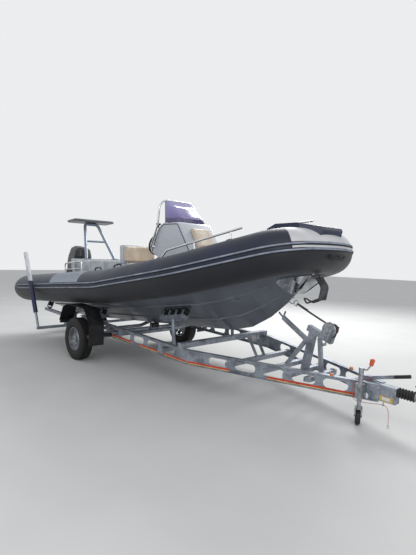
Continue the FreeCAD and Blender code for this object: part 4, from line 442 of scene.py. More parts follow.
# %% Sweep a section
def sweep(mesh, frames, section, capped=True, start=0.0):
    """Carry a closed section, given as points in X and Y, through the frames by extruding its edges."""
    layers = {name: mesh.verts.layers.float.get(name) or mesh.verts.layers.float.new(name)
              for name in ("along", "outward", "upward")}
    ring = [mesh.verts.new(frames[0] @ Vector((x, y, 0))) for x, y in section]
    edges = [mesh.edges.new((ring[i - 1], ring[i])) for i in range(len(ring))]
    rings, edge_rings, travelled = [ring], [edges], [start]
    for before, after in zip(frames, frames[1:]):
        grown = bmesh.ops.extrude_edge_only(mesh, edges=edges)["geom"]
        new = [item for item in grown if isinstance(item, bmesh.types.BMVert)]
        edges = [item for item in grown
                 if isinstance(item, bmesh.types.BMEdge) and all(v in new for v in item.verts)]
        bmesh.ops.transform(mesh, matrix=after @ before.inverted(), verts=new)
        rings.append(new)
        edge_rings.append(edges)
        travelled.append(travelled[-1] + (after.translation - before.translation).length)
    for place, ring, run in zip(frames, rings, travelled):
        back = place.inverted()
        for vert in ring:
            local = back @ vert.co
            reach = max(math.hypot(local.x, local.y), 1e-6)
            vert[layers["along"]], vert[layers["outward"]] = run / 1000, local.x / reach
            vert[layers["upward"]] = local.y / reach
    if capped:
        bmesh.ops.holes_fill(mesh, edges=edge_rings[0] + edge_rings[-1], sides=0)
    return rings


def circle(radius, count, flat=0.0):
    """Points of a round section, the first one turned by flat radians."""
    turns = [flat + math.tau * i / count for i in range(count)]
    return [(radius * math.cos(turn), radius * math.sin(turn)) for turn in turns]


def block(mesh, middle, size, into=Matrix()):
    """A box about a middle, both in the frame given; the answer is its corners."""
    matrix = into @ Matrix.Translation(middle) @ Matrix.Diagonal((*size, 1))
    return bmesh.ops.create_cube(mesh, size=1, matrix=matrix)["verts"]


print("sections ready")

# %% Publish a piece
def publish(name, mesh, material, into=None, body=ROOT, stands_for=(), crease=32):
    """Make a bmesh a finished object: placed, facing outwards, smooth but for its sharp edges."""
    bmesh.ops.recalc_face_normals(mesh, faces=mesh.faces)
    if into is not None:
        bmesh.ops.transform(mesh, matrix=into, verts=mesh.verts)
    data = bpy.data.meshes.new(name)
    mesh.to_mesh(data)
    mesh.free()
    data.materials.append(material)
    data.shade_smooth()
    data.set_sharp_from_angle(angle=math.radians(crease))
    piece = linked(name, data)
    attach(piece, body)
    if stands_for:
        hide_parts(*stands_for)
    print(name, len(data.polygons), "faces")
    return piece


print("publishing ready")

# %% [markdown]
# ## Coated fabric of the collar
#
# The tubes are welded from woven polyester coated with synthetic rubber. The coat is matt with a
# fine orange-peel grain, lighter where it has chalked in the sun, and it is cut in panels: dark
# blue sides, a pale grey panel round the nose above the lower strake, lightened with painted sun
# glare, and a light patch along the top of each tube towards the stern. Below the lower strake the
# tube is painted near black as shade on its underside, and the top of each tube greys towards the
# stern with dust and painted sunlight. The panels follow the tube, so their edges come from the
# distances that the sweep wrote on each vertex and not from space. The weave itself is far below a
# pixel, so it is drawn as a grain of six millimetres.

# %% Collar fabric with its panels
COLLAR_R = 248.0
BOW_PANEL_HALF = 0.47       # metres from the middle of the bow to the pale panel's edge
STERN_PATCH = (3.86, 4.86)  # metres from the middle of the bow to the stern patch's two ends


def collar_fabric():
    material, shader = finish_of("coated_collar_fabric", IOR=1.5, Sheen_Weight=0.05)
    where = add(material, "TexCoord").outputs["Object"]
    along = add(material, "Attribute", {"attribute_name": "along"}).outputs["Fac"]
    upward = add(material, "Attribute", {"attribute_name": "upward"}).outputs["Fac"]
    from_bow = add(material, "Math", {"operation": "ABSOLUTE"}, i0=along)
    chalk = add(material, "TexNoise", i0=where, Scale=1000 / 380, Detail=5.0)
    dark = add(material, "ValToRGB", {"stops": [(0.35, "#11172b"), (0.65, "#1b233f")]}, i0=chalk)
    # The near-black lower half below the lower strake is painted shade on the tube's underside.
    lower = add(material, "ValToRGB", {"stops": [(0.35, "#0f1018"), (0.65, "#171923")]}, i0=chalk)
    # The pale nose panel is a light grey panel lightened with painted sun glare.
    pale = add(material, "ValToRGB", {"stops": [(0.35, "#c3c4c8"), (0.65, "#dad9d9")]}, i0=chalk)
    upper_half = add(material, "MapRange", i0=upward, i1=-0.10, i2=0.0)
    colour = add(material, "Mix", BLEND, i0=upper_half, i6=lower, i7=dark).outputs[2]
    round_bow = add(material, "MapRange", i0=from_bow, i1=BOW_PANEL_HALF + 0.004, i2=BOW_PANEL_HALF)
    above_strake = add(material, "MapRange", i0=upward, i1=-0.01, i2=0.0)
    nose = add(material, "Math", MULTIPLY, i0=round_bow, i1=above_strake)
    colour = add(material, "Mix", BLEND, i0=nose, i6=colour, i7=pale).outputs[2]
    past_start = add(material, "MapRange", i0=from_bow, i1=STERN_PATCH[0], i2=STERN_PATCH[0] + 0.004)
    before_end = add(material, "MapRange", i0=from_bow, i1=STERN_PATCH[1] + 0.004, i2=STERN_PATCH[1])
    between = add(material, "Math", MULTIPLY, i0=past_start, i1=before_end)
    on_shoulder = add(material, "MapRange", i0=upward, i1=0.30, i2=0.31)
    stern = add(material, "Math", MULTIPLY, i0=between, i1=on_shoulder)
    colour = add(material, "Mix", BLEND, i0=stern, i6=colour, i7="#a3aebd").outputs[2]
    # The greying of the top towards the stern is dust and painted sunlight.
    aft = add(material, "MapRange", i0=from_bow, i1=2.2, i2=4.2)
    on_top = add(material, "MapRange", i0=upward, i1=0.25, i2=0.9)
    dust = add(material, "Math", MULTIPLY, i0=add(material, "Math", MULTIPLY, i0=on_top, i1=aft), i1=0.6)
    colour = add(material, "Mix", BLEND, i0=dust, i6=colour, i7="#666a74").outputs[2]
    gloss = add(material, "ValToRGB", {"stops": [(0.3, 0.46), (0.7, 0.62)]}, i0=chalk)
    weave = add(material, "TexNoise", i0=where, Scale=1000 / 6, Detail=2.0)
    feed(material, shader, "Base Color", colour)
    feed(material, shader, "Roughness", gloss)
    feed(material, shader, "Normal", add(material, "Bump", Strength=1.0, Distance=0.12 / 1000, Height=weave))
    return material


COLLAR_FABRIC = collar_fabric()
print("panels ready", COLLAR_FABRIC.name)

# %% [markdown]
# ## The inflated collar
#
# One tube runs from a cone at each stern round the bow. Air keeps its section round, so the sweep
# only has to get the route and the taper right. The route is the solid's: straight sides, a gentle
# bend up and in, a tighter one at each shoulder and a wide one round the nose. The cone's radius
# follows an arc through three points, and its tip is closed flat.

# %% Sweep the tube from cone to cone
# place of each corner of the axis and radius of its bend
COLLAR_HALF = [((-330, 950, 603), 0), ((2560, 950, 603), 3000), ((4160, 900, 735), 2000),
               ((5360, 530, 955), 330)]
COLLAR_NOSE = [((5500, 0, 960), 1200)]
CONE_LENGTH = 620.0


def collar_axis(out=0.0, up=0.0):
    """Route points and bend radii of the collar's axis, moved outwards in plan and up."""
    half = COLLAR_HALF + COLLAR_NOSE
    rows = half + [((x, -y, z), r) for (x, y, z), r in reversed(COLLAR_HALF)]
    points = [Vector(point) for point, _ in rows]
    moved = []
    for index, here in enumerate(points):
        runs = [points[i + 1] - points[i] for i in (index - 1, index) if 0 <= i < len(points) - 1]
        normals = [Vector((-run.y, run.x, 0)).normalized() for run in runs]
        mitre = normals[0] + normals[-1]
        moved.append(here + mitre * (2 * out / mitre.length_squared) + Vector((0, 0, up)))
    return moved, [radius + out for _, radius in rows[1:-1]]


def cone_radius(distance):
    """Radius of the stern cone so far aft of the straight tube: an arc that starts as the tube."""
    share_back = distance / CONE_LENGTH
    return COLLAR_R * (1 - 0.10 * share_back - 0.63 * share_back ** 2.6)


points, radii = collar_axis()
run = route_stations(points, radii, 45.0)
steps = [CONE_LENGTH * (1 - (1 - i / 16) ** 1.4) for i in range(17)]
cones = [(Vector((-330 - d, 950, 603)), cone_radius(d)) for d in reversed(steps)]
cones = cones[:-1]
stations = [point for point, _ in cones] + run + [Vector((p.x, -p.y, p.z)) for p, _ in reversed(cones)]
sizes = [r / COLLAR_R for _, r in cones]
sizes += [1] * len(run) + sizes[::-1]
half_length = sum((b - a).length for a, b in zip(stations, stations[1:])) / 2
collar = bmesh.new()
collar_frames = frames_along(stations, sizes=sizes)
sweep(collar, collar_frames, circle(COLLAR_R, 80), start=-half_length)
publish("collar_tube", collar, COLLAR_FABRIC, LAID, stands_for=["tube_collar"])
print("half the collar is", round(half_length / 1000, 2), "m long")

# %% [markdown]
# ## Rub strakes
#
# Two extruded rubber mouldings are glued along the widest part of the collar, where it would touch a
# quay. Each has a round bead along its middle and a flange on both sides of it. The section is
# swept on its own route, which is the collar's moved out to its skin, so it lies on the tube all the
# way. Along the sides the bead is painted pale grey as a highlight of the sky, and round the nose all
# but its lower edge is painted pale as sun glare.

# %% Strakes
STRAKE_HEIGHTS = (62.0, 0.0)
STRAKE_PROFILE = [(-7, -20), (3, -20), (8, -17), (10, -12), (8, -10), (13, -8), (14.5, 0), (13, 8),
                  (8, 10), (10, 12), (8, 17), (3, 20), (-7, 20)]


def strake_rubber():
    material, shader = finish_of("strake_rubber", IOR=1.5)
    where = add(material, "TexCoord").outputs["Object"]
    along = add(material, "Attribute", {"attribute_name": "along"}).outputs["Fac"]
    upward = add(material, "Attribute", {"attribute_name": "upward"}).outputs["Fac"]
    from_bow = add(material, "Math", {"operation": "ABSOLUTE"}, i0=along)
    off_middle = add(material, "Math", {"operation": "ABSOLUTE"}, i0=upward)
    # The pale grey on the side beads and round the nose is painted sky highlight and sun glare.
    on_side = add(material, "MapRange", i0=from_bow, i1=BOW_PANEL_HALF - 0.05, i2=BOW_PANEL_HALF + 0.05)
    above_edge = add(material, "MapRange", i0=upward, i1=-0.36, i2=-0.30)
    on_bead = add(material, "MapRange", i0=off_middle, i1=0.66, i2=0.60)
    painted_highlight = add(material, "Mix", BLEND, i0=on_side, i6=above_edge, i7=on_bead).outputs[2]
    fade = add(material, "TexNoise", i0=where, Scale=1000 / 120, Detail=5.0)
    highlight_grey = add(material, "ValToRGB", {"stops": [(0.35, "#747b8a"), (0.65, "#98a0af")]}, i0=fade)
    rubbed = add(material, "TexNoise", i0=where, Scale=1000 / 40, Detail=3.0)
    gloss = add(material, "ValToRGB", {"stops": [(0.3, 0.45), (0.7, 0.7)]}, i0=rubbed)
    fine = add(material, "TexNoise", i0=where, Scale=1000 / 2, Detail=2.0)
    feed(material, shader, "Base Color", add(material, "Mix", BLEND, i0=painted_highlight, i6="#20222c", i7=highlight_grey).outputs[2])
    feed(material, shader, "Roughness", gloss)
    feed(material, shader, "Normal", add(material, "Bump", Strength=1.0, Distance=0.06 / 1000, Height=fine))
    return material


strakes = bmesh.new()
for height in STRAKE_HEIGHTS:
    points, radii = collar_axis(math.sqrt(COLLAR_R ** 2 - height ** 2), height)
    run = route_stations(points, radii, 60.0)
    length = sum((b - a).length for a, b in zip(run, run[1:]))
    tilt = Matrix.Rotation(math.asin(height / COLLAR_R), 4, "Z")
    sweep(strakes, [place @ tilt for place in frames_along(run)], STRAKE_PROFILE, start=-length / 2)
STRAKE_RUBBER = strake_rubber()
publish("strake_mouldings", strakes, STRAKE_RUBBER, LAID, stands_for=["rub_strakes"])

# %% [markdown]
# ## Console, screen and hoop
#
# The console is one moulding: upright sides, a front face that slopes aft under a shallow brow and
# an instrument face that leans away from the helm. Its side outline is extruded across the boat and
# the long edges are rounded, as the mould needs them to be. The tinted screen is bent round the
# front of its top and rakes up to a stainless hoop, which goes down both sides as a grab rail. They
# stand a little higher and further forward than the plain solids, where the photograph has them.

# %% Console moulding
CONSOLE_HALF = 310.0
CONSOLE_SIDE = [(2945, 424), (2945, 1033), (2743, 1114), (2869, 1340), (2960, 1468), (3089, 1531),
                (3440, 1499), (3690, 1080), (3700, 424)]


def extruded_outline(mesh, outline, half):
    """A flat outline in X and Z carried from one side of the centre line to the other."""
    face = mesh.faces.new([mesh.verts.new((x, -half, z)) for x, z in outline])
    grown = bmesh.ops.extrude_face_region(mesh, geom=[face])["geom"]
    new = [item for item in grown if isinstance(item, bmesh.types.BMVert)]
    bmesh.ops.translate(mesh, verts=new, vec=(0, 2 * half, 0))
    return new


def rounded(mesh, edges, radius, steps=4):
    bmesh.ops.bevel(mesh, geom=edges, offset=radius, segments=steps, affect="EDGES", profile=0.5, material=-1,
                    clamp_overlap=True)


console = bmesh.new()
extruded_outline(console, CONSOLE_SIDE, CONSOLE_HALF)
long_way = [e for e in console.edges if abs(e.verts[0].co.y - e.verts[1].co.y) > 1 and e.verts[0].co.z > 1050]
rims = [e for e in console.edges
        if abs(e.verts[0].co.y - e.verts[1].co.y) < 1 and min(v.co.z for v in e.verts) > 1000]
rounded(console, long_way + rims, 28)
publish("console_moulding", console, DECK_GELCOAT, LAID, stands_for=["console"],
        crease=24)

# %% Painted shadow strip along the console's sides
# A dark strip along each side edge of the console paints the shadow of the recess and rail there.
SHADOW_STRIP_PROFILE = [(-5, -3), (5, -3), (3, 3), (-3, 3)]
shadow_strip = bmesh.new()
for side in (-1, 1):
    y = side * (CONSOLE_HALF + 1)
    edge = [(2800, y, 1116), (2915, y, 1322), (3002, y, 1446), (3112, y, 1500), (3424, y, 1472),
            (3664, y, 1070)]
    sweep(shadow_strip, frames_along(route_stations(edge, [60, 60, 60, 60], 40.0), (0, 1, 0)), SHADOW_STRIP_PROFILE)
publish("console_shadow_strip", shadow_strip, BLACK_PLASTIC, LAID)

# %% [markdown]
# ## Windscreen
#
# Four millimetres of acrylic, heated and bent. A strip is laid out at the foot and another, narrower
# one at the top, and bridging them gives the raked, slightly conical sheet. Solidify gives it its
# thickness.

# %% Bent screen
SCREEN_FOOT = (1500.0, [(3120, 296), (3330, 290), (3420, 235), (3436, 120), (3440, 0)])
SCREEN_TOP = (1848.0, [(3092, 268), (3110, 262), (3124, 220), (3130, 110), (3132, 0)])


def screen_row(mesh, height, half):
    both = half + [(x, -y) for x, y in reversed(half[:-1])]
    verts = [mesh.verts.new((x, y, height)) for x, y in both]
    return [mesh.edges.new(pair) for pair in zip(verts, verts[1:])]


screen = bmesh.new()
low = screen_row(screen, *SCREEN_FOOT)
high = screen_row(screen, *SCREEN_TOP)
bmesh.ops.bridge_loops(screen, edges=low + high)
bmesh.ops.subdivide_edges(screen, edges=screen.edges[:], cuts=2, smooth=0.6, use_grid_fill=True)
piece = publish("bent_screen", screen, ACRYLIC, LAID, stands_for=["windscreen"], crease=60)
thick = piece.modifiers.new("thickness", "SOLIDIFY")
thick.thickness = 0.004

# %% [markdown]
# ## Hoop and grab rails
#
# The hoop is one bent pipe of 28 mm. A round section swept along its route with real bend radii
# gives the even bends of a pipe bender, and small bases spread its load on the moulding.

# %% Hoop round the screen
def both_halves(half):
    return half + [(x, -y, z) for x, y, z in reversed(half)]


def pipe(mesh, points, radii, radius, count=16, upright=(0, 0, 1)):
    sweep(mesh, frames_along(route_stations(points, radii, 30.0), upright), circle(radius, count))


hoop = bmesh.new()
HOOP_SIDE = [(2832, 306, 1188), (2820, 344, 1180), (3004, 344, 1500), (3062, 330, 1866)]
pipe(hoop, both_halves(HOOP_SIDE), [16, 160, 130, 130, 160, 16], 14.0, upright=(1, 0, 0.1))
for side in (-1, 1):
    base = bmesh.ops.create_cone(hoop, cap_ends=True, segments=20, radius1=30, radius2=24, depth=8)["verts"]
    foot = Matrix.Translation((2834, side * 313, 1190)) @ Matrix.Rotation(-side * math.pi / 2, 4, "X")
    bmesh.ops.transform(hoop, matrix=foot, verts=base)
publish("screen_hoop", hoop, STAINLESS, LAID, stands_for=["console_hoop"])

# %% [markdown]
# ## Helm boss and throttle
#
# The wheel turns on a short helm unit let into the instrument face, and the engine is worked by a
# box with one lever beside it. Two round instruments sit above the wheel behind flat glasses. They
# are turned discs with a raised bezel, and their faces are left blank.

# %% Helm boss, throttle box and instruments
def disc_on(mesh, place, rings, segments=28):
    """A turned piece: (radius, height) rings joined into a closed profile about the Z axis of place."""
    profile = [mesh.verts.new((r, 0, h)) for r, h in rings]
    edges = [mesh.edges.new(pair) for pair in zip(profile, profile[1:])]
    bmesh.ops.spin(mesh, geom=profile + edges, cent=(0, 0, 0), axis=(0, 0, 1), angle=math.tau,
                   steps=segments, use_merge=True)
    grown = {v for e in edges for f in e.link_faces for v in f.verts} | set(profile)
    while True:
        more = {w for v in grown for e in v.link_edges for w in e.verts}
        if more <= grown:
            break
        grown |= more
    bmesh.ops.transform(mesh, matrix=place, verts=list(grown))
    bmesh.ops.remove_doubles(mesh, verts=list(grown), dist=0.01)


DASH_LEAN = math.atan2(2960 - 2869, 1468 - 1340)
dash = Matrix.Translation((2914, 0, 1404)) @ Matrix.Rotation(-math.pi / 2 - DASH_LEAN, 4, "Y")
boss = bmesh.new()
helm = Matrix.Translation((2732, 0, 1185)) @ Matrix.Rotation(math.radians(115), 4, "Y")
disc_on(boss, helm, [(0, -30), (46, -30), (46, 150), (0, 150)])
publish("helm_boss", boss, BLACK_PLASTIC, LAID)
gauges = bmesh.new()
GAUGE_RINGS = [(0, 0), (52, 0), (52, 9), (46, 12), (43, 8), (0, 8)]
for across in (-140, 140):
    disc_on(gauges, dash @ Matrix.Translation((0, across, 2)), GAUGE_RINGS)
publish("instruments", gauges, BLACK_PLASTIC, LAID)
throttle = bmesh.new()
case_frame = Matrix.Translation((2905, -205, 1398)) @ Matrix.Rotation(DASH_LEAN, 4, "Y")
case = block(throttle, (0, 0, 0), (110, 84, 150), case_frame)
rounded(throttle, list({e for v in case for e in v.link_edges}), 14, 3)
pipe(throttle, [(2865, -205, 1430), (2842, -205, 1490), (2840, -205, 1540)], [30], 10.0, 12, (0, 1, 0))
pipe(throttle, [(2840, -238, 1540), (2840, -172, 1540)], [], 17.0, 14)
publish("throttle_box", throttle, BLACK_PLASTIC, LAID, stands_for=["throttle"])

# %% [markdown]
# ## Deck sheet and bow cap
#
# The sole is covered with a foam sheet that is grooved like planks, so wet feet don't slip. The bow
# cap is a moulded pad: blue on its sides, with a grey ribbed tread plate on top where someone steps
# aboard. Both keep their solids' shapes and get their grooves as relief.

# %% Deck sheet and bow cap
def deck_foam():
    material, shader = finish_of("grooved_eva_foam", IOR=1.5, Sheen_Weight=0.1)
    where = add(material, "TexCoord").outputs["Object"]
    across = add(material, "SeparateXYZ", i0=where).outputs[1]
    saw = add(material, "Math", {"operation": "PINGPONG"}, i0=across, i1=0.030).outputs[0]
    groove = add(material, "MapRange", i0=saw, i1=0.0015, i2=0.004)
    scuff = add(material, "TexNoise", i0=where, Scale=1000 / 90, Detail=5.0)
    plank = add(material, "ValToRGB", {"stops": [(0.35, "#8d9095"), (0.65, "#a3a6aa")]}, i0=scuff)
    feed(material, shader, "Base Color",
         add(material, "Mix", BLEND, i0=groove, i6="#3c3f44", i7=plank).outputs[2])
    feed(material, shader, "Roughness",
         add(material, "ValToRGB", {"stops": [(0.3, 0.7), (0.7, 0.85)]}, i0=scuff))
    feed(material, shader, "Normal",
         add(material, "Bump", Strength=0.8, Distance=2.0 / 1000, Height=groove))
    return material


def cap_rubber():
    material, shader = finish_of("moulded_cap_rubber", IOR=1.5, Coat_Weight=0.1)
    where = add(material, "TexCoord").outputs["Object"]
    facing = add(material, "SeparateXYZ", i0=add(material, "NewGeometry").outputs["Normal"]).outputs[2]
    top = add(material, "MapRange", i0=facing, i1=0.55, i2=0.62)
    ribs = add(material, "TexWave", {"wave_type": "BANDS"}, i0=where, Scale=crests(48)).outputs["Fac"]
    scuff = add(material, "TexNoise", i0=where, Scale=1000 / 80, Detail=5.0)
    side = add(material, "ValToRGB", {"stops": [(0.35, "#141b37"), (0.65, "#1f294a")]}, i0=scuff)
    plate = add(material, "ValToRGB", {"stops": [(0.35, "#30323e"), (0.65, "#434653")]}, i0=scuff)
    feed(material, shader, "Base Color", add(material, "Mix", BLEND, i0=top, i6=side, i7=plate).outputs[2])
    feed(material, shader, "Roughness",
         add(material, "ValToRGB", {"stops": [(0.3, 0.4), (0.7, 0.6)]}, i0=scuff))
    feed(material, shader, "Normal",
         add(material, "Bump", Strength=0.7, Distance=1.5 / 1000,
             Height=add(material, "Math", MULTIPLY, i0=ribs, i1=top)))
    return material


wear("sole", deck_foam())
wear("bow_step", cap_rubber())
print("deck and bow cap dressed")

# %% [markdown]
# ## Cushions
#
# Each cushion is a block of foam in a sewn vinyl cover. The foam pushes the cover out between its
# seams, so the faces crown and the sides pull in. Blender's cloth does the same: a rounded block a
# little smaller than the cushion is remeshed evenly, blown up with a small pressure and no gravity,
# and held near its start by a cap, with its back kept flat on what carries it. Sewn channels are
# pressed in afterwards, and each vertex keeps its place in the flat cover as attributes, from
# which the vinyl draws its seams and stitches.

# %% Vinyl with seams
def seamed_vinyl(name, colour, soiled, piping):
    material, shader = finish_of(name, IOR=1.48, Sheen_Weight=0.12)
    where = add(material, "TexCoord").outputs["Object"]
    worn = add(material, "TexNoise", i0=where, Scale=1000 / 140, Detail=4.0)
    cover = add(material, "ValToRGB", {"stops": [(0.36, soiled), (0.6, colour)]}, i0=worn)
    seam = add(material, "Attribute", {"attribute_name": "seam"}).outputs["Fac"]
    near = add(material, "MapRange", i0=seam, i1=0.0042, i2=0.003)
    groove = add(material, "MapRange", i0=seam, i1=0.007, i2=0.0015)
    thread = add(material, "TexWave", {"wave_type": "BANDS"}, i0=where, Scale=crests(18),
                 Distortion=1.5).outputs["Fac"]
    feed(material, shader, "Base Color",
         add(material, "Mix", BLEND, i0=add(material, "Math", MULTIPLY, i0=near, i1=0.8), i6=cover,
             i7=piping).outputs[2])
    feed(material, shader, "Roughness",
         add(material, "ValToRGB", {"stops": [(0.3, 0.52), (0.7, 0.4)]}, i0=worn))
    pebble = add(material, "TexVoronoi", {"feature": "SMOOTH_F1"}, i0=where, Scale=1000 / 3)
    relief = add(material, "Math", {"operation": "SUBTRACT"},
                 i0=add(material, "Math", MULTIPLY, i0=pebble, i1=0.15),
                 i1=add(material, "Math", MULTIPLY, i0=groove, i1=1.0))
    stitched = add(material, "Math", {"operation": "ADD"}, i0=relief,
                   i1=add(material, "Math", MULTIPLY,
                          i0=add(material, "Math", MULTIPLY, i0=near, i1=thread), i1=0.6)).outputs[0]
    feed(material, shader, "Normal",
         add(material, "Bump", Strength=0.9, Distance=1.6 / 1000, Height=stitched))
    return material


BEIGE_COVER = seamed_vinyl("beige_marine_vinyl", "#e2d3c0", "#cdbda8", "#b9a892")
GREY_COVER = seamed_vinyl("grey_marine_vinyl", "#aeb1b6", "#93979e", "#6f737a")
print("covers", BEIGE_COVER.name, GREY_COVER.name)

# %% [markdown]
# ## From a foam block to a cushion
#
# The block is even in its mesh before the cloth runs, because pressure on long thin faces folds
# them.

# %% Blow up a block of foam
VOXEL = 0.012
PRESSURE = 4.0
SHRINK = 7.0        # mm that each free face starts inside the finished cushion


def foam_block(name, low, high, radius):
    """A rounded block a little smaller than the cushion, apart from the face that lies on its carrier."""
    mesh = bmesh.new()
    low, high = Vector(low), Vector(high)
    block(mesh, (low + high) / 2, high - low)
    rounded(mesh, mesh.edges[:], radius, 5)
    data = bpy.data.meshes.new(name)
    mesh.to_mesh(data)
    mesh.free()
    return linked(name, data)


def baked(piece):
    """Apply the piece's modifiers by taking the mesh that they give."""
    bpy.context.view_layer.update()
    result = bpy.data.meshes.new_from_object(piece.evaluated_get(bpy.context.evaluated_depsgraph_get()))
    piece.modifiers.clear()
    old = piece.data
    piece.data = result
    bpy.data.meshes.remove(old)


def inflated(piece, cap, rests):
    """Let cloth pressure crown the block; cap is how far a point may go, rests says which points stay."""
    bpy.context.scene.frame_set(1)
    start = [vert.co.copy() for vert in piece.data.vertices]
    held = piece.vertex_groups.new(name="held")
    held.add([i for i, co in enumerate(start) if rests(co)], 1.0, "REPLACE")
    cloth = piece.modifiers.new("foam", "CLOTH")
    cloth.settings.quality = 5
    cloth.settings.use_pressure = True
    cloth.settings.uniform_pressure_force = PRESSURE
    cloth.settings.vertex_group_mass = "held"
    cloth.settings.effector_weights.gravity = 0
    cloth.point_cache.frame_start, cloth.point_cache.frame_end = 1, 20
    for frame_number in range(1, 21):
        bpy.context.scene.frame_set(frame_number)
    baked(piece)
    bpy.context.scene.frame_set(1)
    for vert, co in zip(piece.data.vertices, start):
        moved = vert.co - co
        if moved.length > cap:
            vert.co = co + moved.normalized() * cap
        if rests(co):
            vert.co = co
    return start


print("foam blocks of", VOXEL * 1000, "mm")

# %% Make a cushion
def cushion(name, box_mm, radius, into, cover, stands_for, channels=(), face=2, cap=14.0):
    """A padded piece in its own level box. Its crowned face looks along the axis face, and a channel
    is (axis it lies across, place on it)."""
    (x0, x1), (y0, y1), (z0, z1) = box_mm
    low, high = Vector((x0, y0, z0)), Vector((x1, y1, z1))
    inset = Vector((SHRINK,) * 3)
    inset_low = inset.copy()
    inset_low[face] = 0.0
    scale = 0.001
    piece = foam_block(name, (low + inset_low) * scale, (high - inset) * scale, radius * scale)
    remesh = piece.modifiers.new("even", "REMESH")
    remesh.mode, remesh.voxel_size = "VOXEL", VOXEL
    baked(piece)
    floor_level = low[face] * scale
    start = inflated(piece, cap * scale, lambda co: co[face] < floor_level + 0.004)
    seams = []
    top = (high[face] - SHRINK) * scale
    for vert, co in zip(piece.data.vertices, start):
        nearest = 1.0
        for along, place in channels:
            gap = abs(co[along] - place * scale)
            facing = max(0.0, 1 - max(0.0, top - 0.02 - co[face]) / 0.02)
            nearest = min(nearest, gap if facing > 0.2 else 1.0)
            vert.co[face] -= 0.008 * facing * math.exp(-(gap / 0.011) ** 2)
        rim = abs(co[face] - (top - 0.5 * radius * scale))
        inner = min(abs(co[i] - edge[i] * scale) for edge in (low, high) for i in range(3) if i != face)
        seams.append(min(nearest, rim if inner < radius * scale else 1.0))
        vert.co[face] = max(vert.co[face], floor_level + 0.0005)
    note = piece.data.attributes.new("seam", "FLOAT", "POINT")
    note.data.foreach_set("value", seams)
    smooth = piece.modifiers.new("smooth", "SUBSURF")
    smooth.levels = smooth.render_levels = 1
    baked(piece)
    piece.data.materials.append(cover)
    piece.data.transform(into @ Matrix.Scale(1000, 4))
    piece.data.shade_smooth()
    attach(piece, ROOT)
    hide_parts(stands_for)
    print(name, len(piece.data.polygons), "faces")
    return piece


def leaned(x, z, lean):
    """A pad's own frame: foot of its back face at x, z, leaned aft by so many degrees."""
    return LAID @ Matrix.Translation((x, 0, z)) @ Matrix.Rotation(math.radians(-lean), 4, "Y")


print("cushion function ready")

# %% [markdown]
# ## Locker, helm back and covers
#
# A moulded locker stands against the front of the console and carries a pad, and the helm backrest
# has a moulded shell behind it. The pads of the helm seat, the console and the locker are beige, and
# only the aft bench is grey. The helm and bench covers have channels sewn from front to back.

# %% Locker before the console
locker = bmesh.new()
extruded_outline(locker, [(3702, 424), (4030, 424), (4000, 750), (3702, 750)], 240)
rounded(locker, [e for e in locker.edges if min(v.co.z for v in e.verts) > 700], 18)
publish("locker_moulding", locker, DECK_GELCOAT, LAID, stands_for=["console_seat"],
        crease=24)

# %% Helm back shell and six cushions
CONSOLE_LEAN = math.degrees(math.atan2(3690 - 3440, 1499 - 1080))
cushion("helm_squab", ((2070, 2445), (-320, 320), (880.3, 970)), 30, LAID, BEIGE_COVER, "helm_cushions",
        [(1, -107), (1, 107)])
cushion("helm_backrest", ((1984, 2065), (-312, 312), (990, 1281)), 30, LAID, BEIGE_COVER, "helm_cushions",
        [(1, -107), (1, 107)], face=0, cap=10)
shell = bmesh.new()
block(shell, (1936, 0, 1128), (94, 640, 320))
rounded(shell, shell.edges[:], 28, 4)
publish("helm_back_shell", shell, DECK_GELCOAT, LAID, stands_for=["helm_cushions"])
cushion("bench_squab", ((833, 1175), (-570, 570), (780.3, 870)), 30, LAID, GREY_COVER, "bench_cushions",
        [(1, -285), (1, 0), (1, 285)])
cushion("bench_backrest", ((0.3, 60), (-570, 570), (12, 334)), 24, leaned(765, 780, 7.54), GREY_COVER,
        "bench_cushions", [(1, -285), (1, 0), (1, 285)], face=0, cap=10)
cushion("locker_squab", ((3712, 3990), (-230, 230), (750.3, 820)), 22, LAID, BEIGE_COVER, "console_cushions",
        cap=10)
cushion("console_backrest", ((0.3, 70), (-185, 185), (0, 370)), 25, leaned(3690, 1080, CONSOLE_LEAN),
        BEIGE_COVER, "console_cushions", cap=10, face=0)

# %% [markdown]
# ## Tyres
#
# A radial tyre is one body of rubber: the side walls bulge, the crown is nearly flat and is cut into
# ribs and blocks. The body is a profile spun about the axle, and one pitch of the tread, five plain
# blocks of three widths, is repeated round it.

# %% Tyres with their tread
# radius and distance from the middle plane, from one bead over the crown to the other
TYRE_SIDE = [(178, 72), (186, 84), (205, 93), (232, 97), (258, 96.5), (262, 94.5), (266, 95.5), (285, 91),
             (303, 82), (313, 73), (317, 62)]
TREAD_PITCHES = 64
TREAD_RADIUS = 321
# middle, width across and share of the pitch of each block
TREAD_BLOCKS = [(-58, 22, 0.70), (-24, 26, 0.84), (24, 26, 0.84), (58, 22, 0.70), (0, 14, 0.94)]


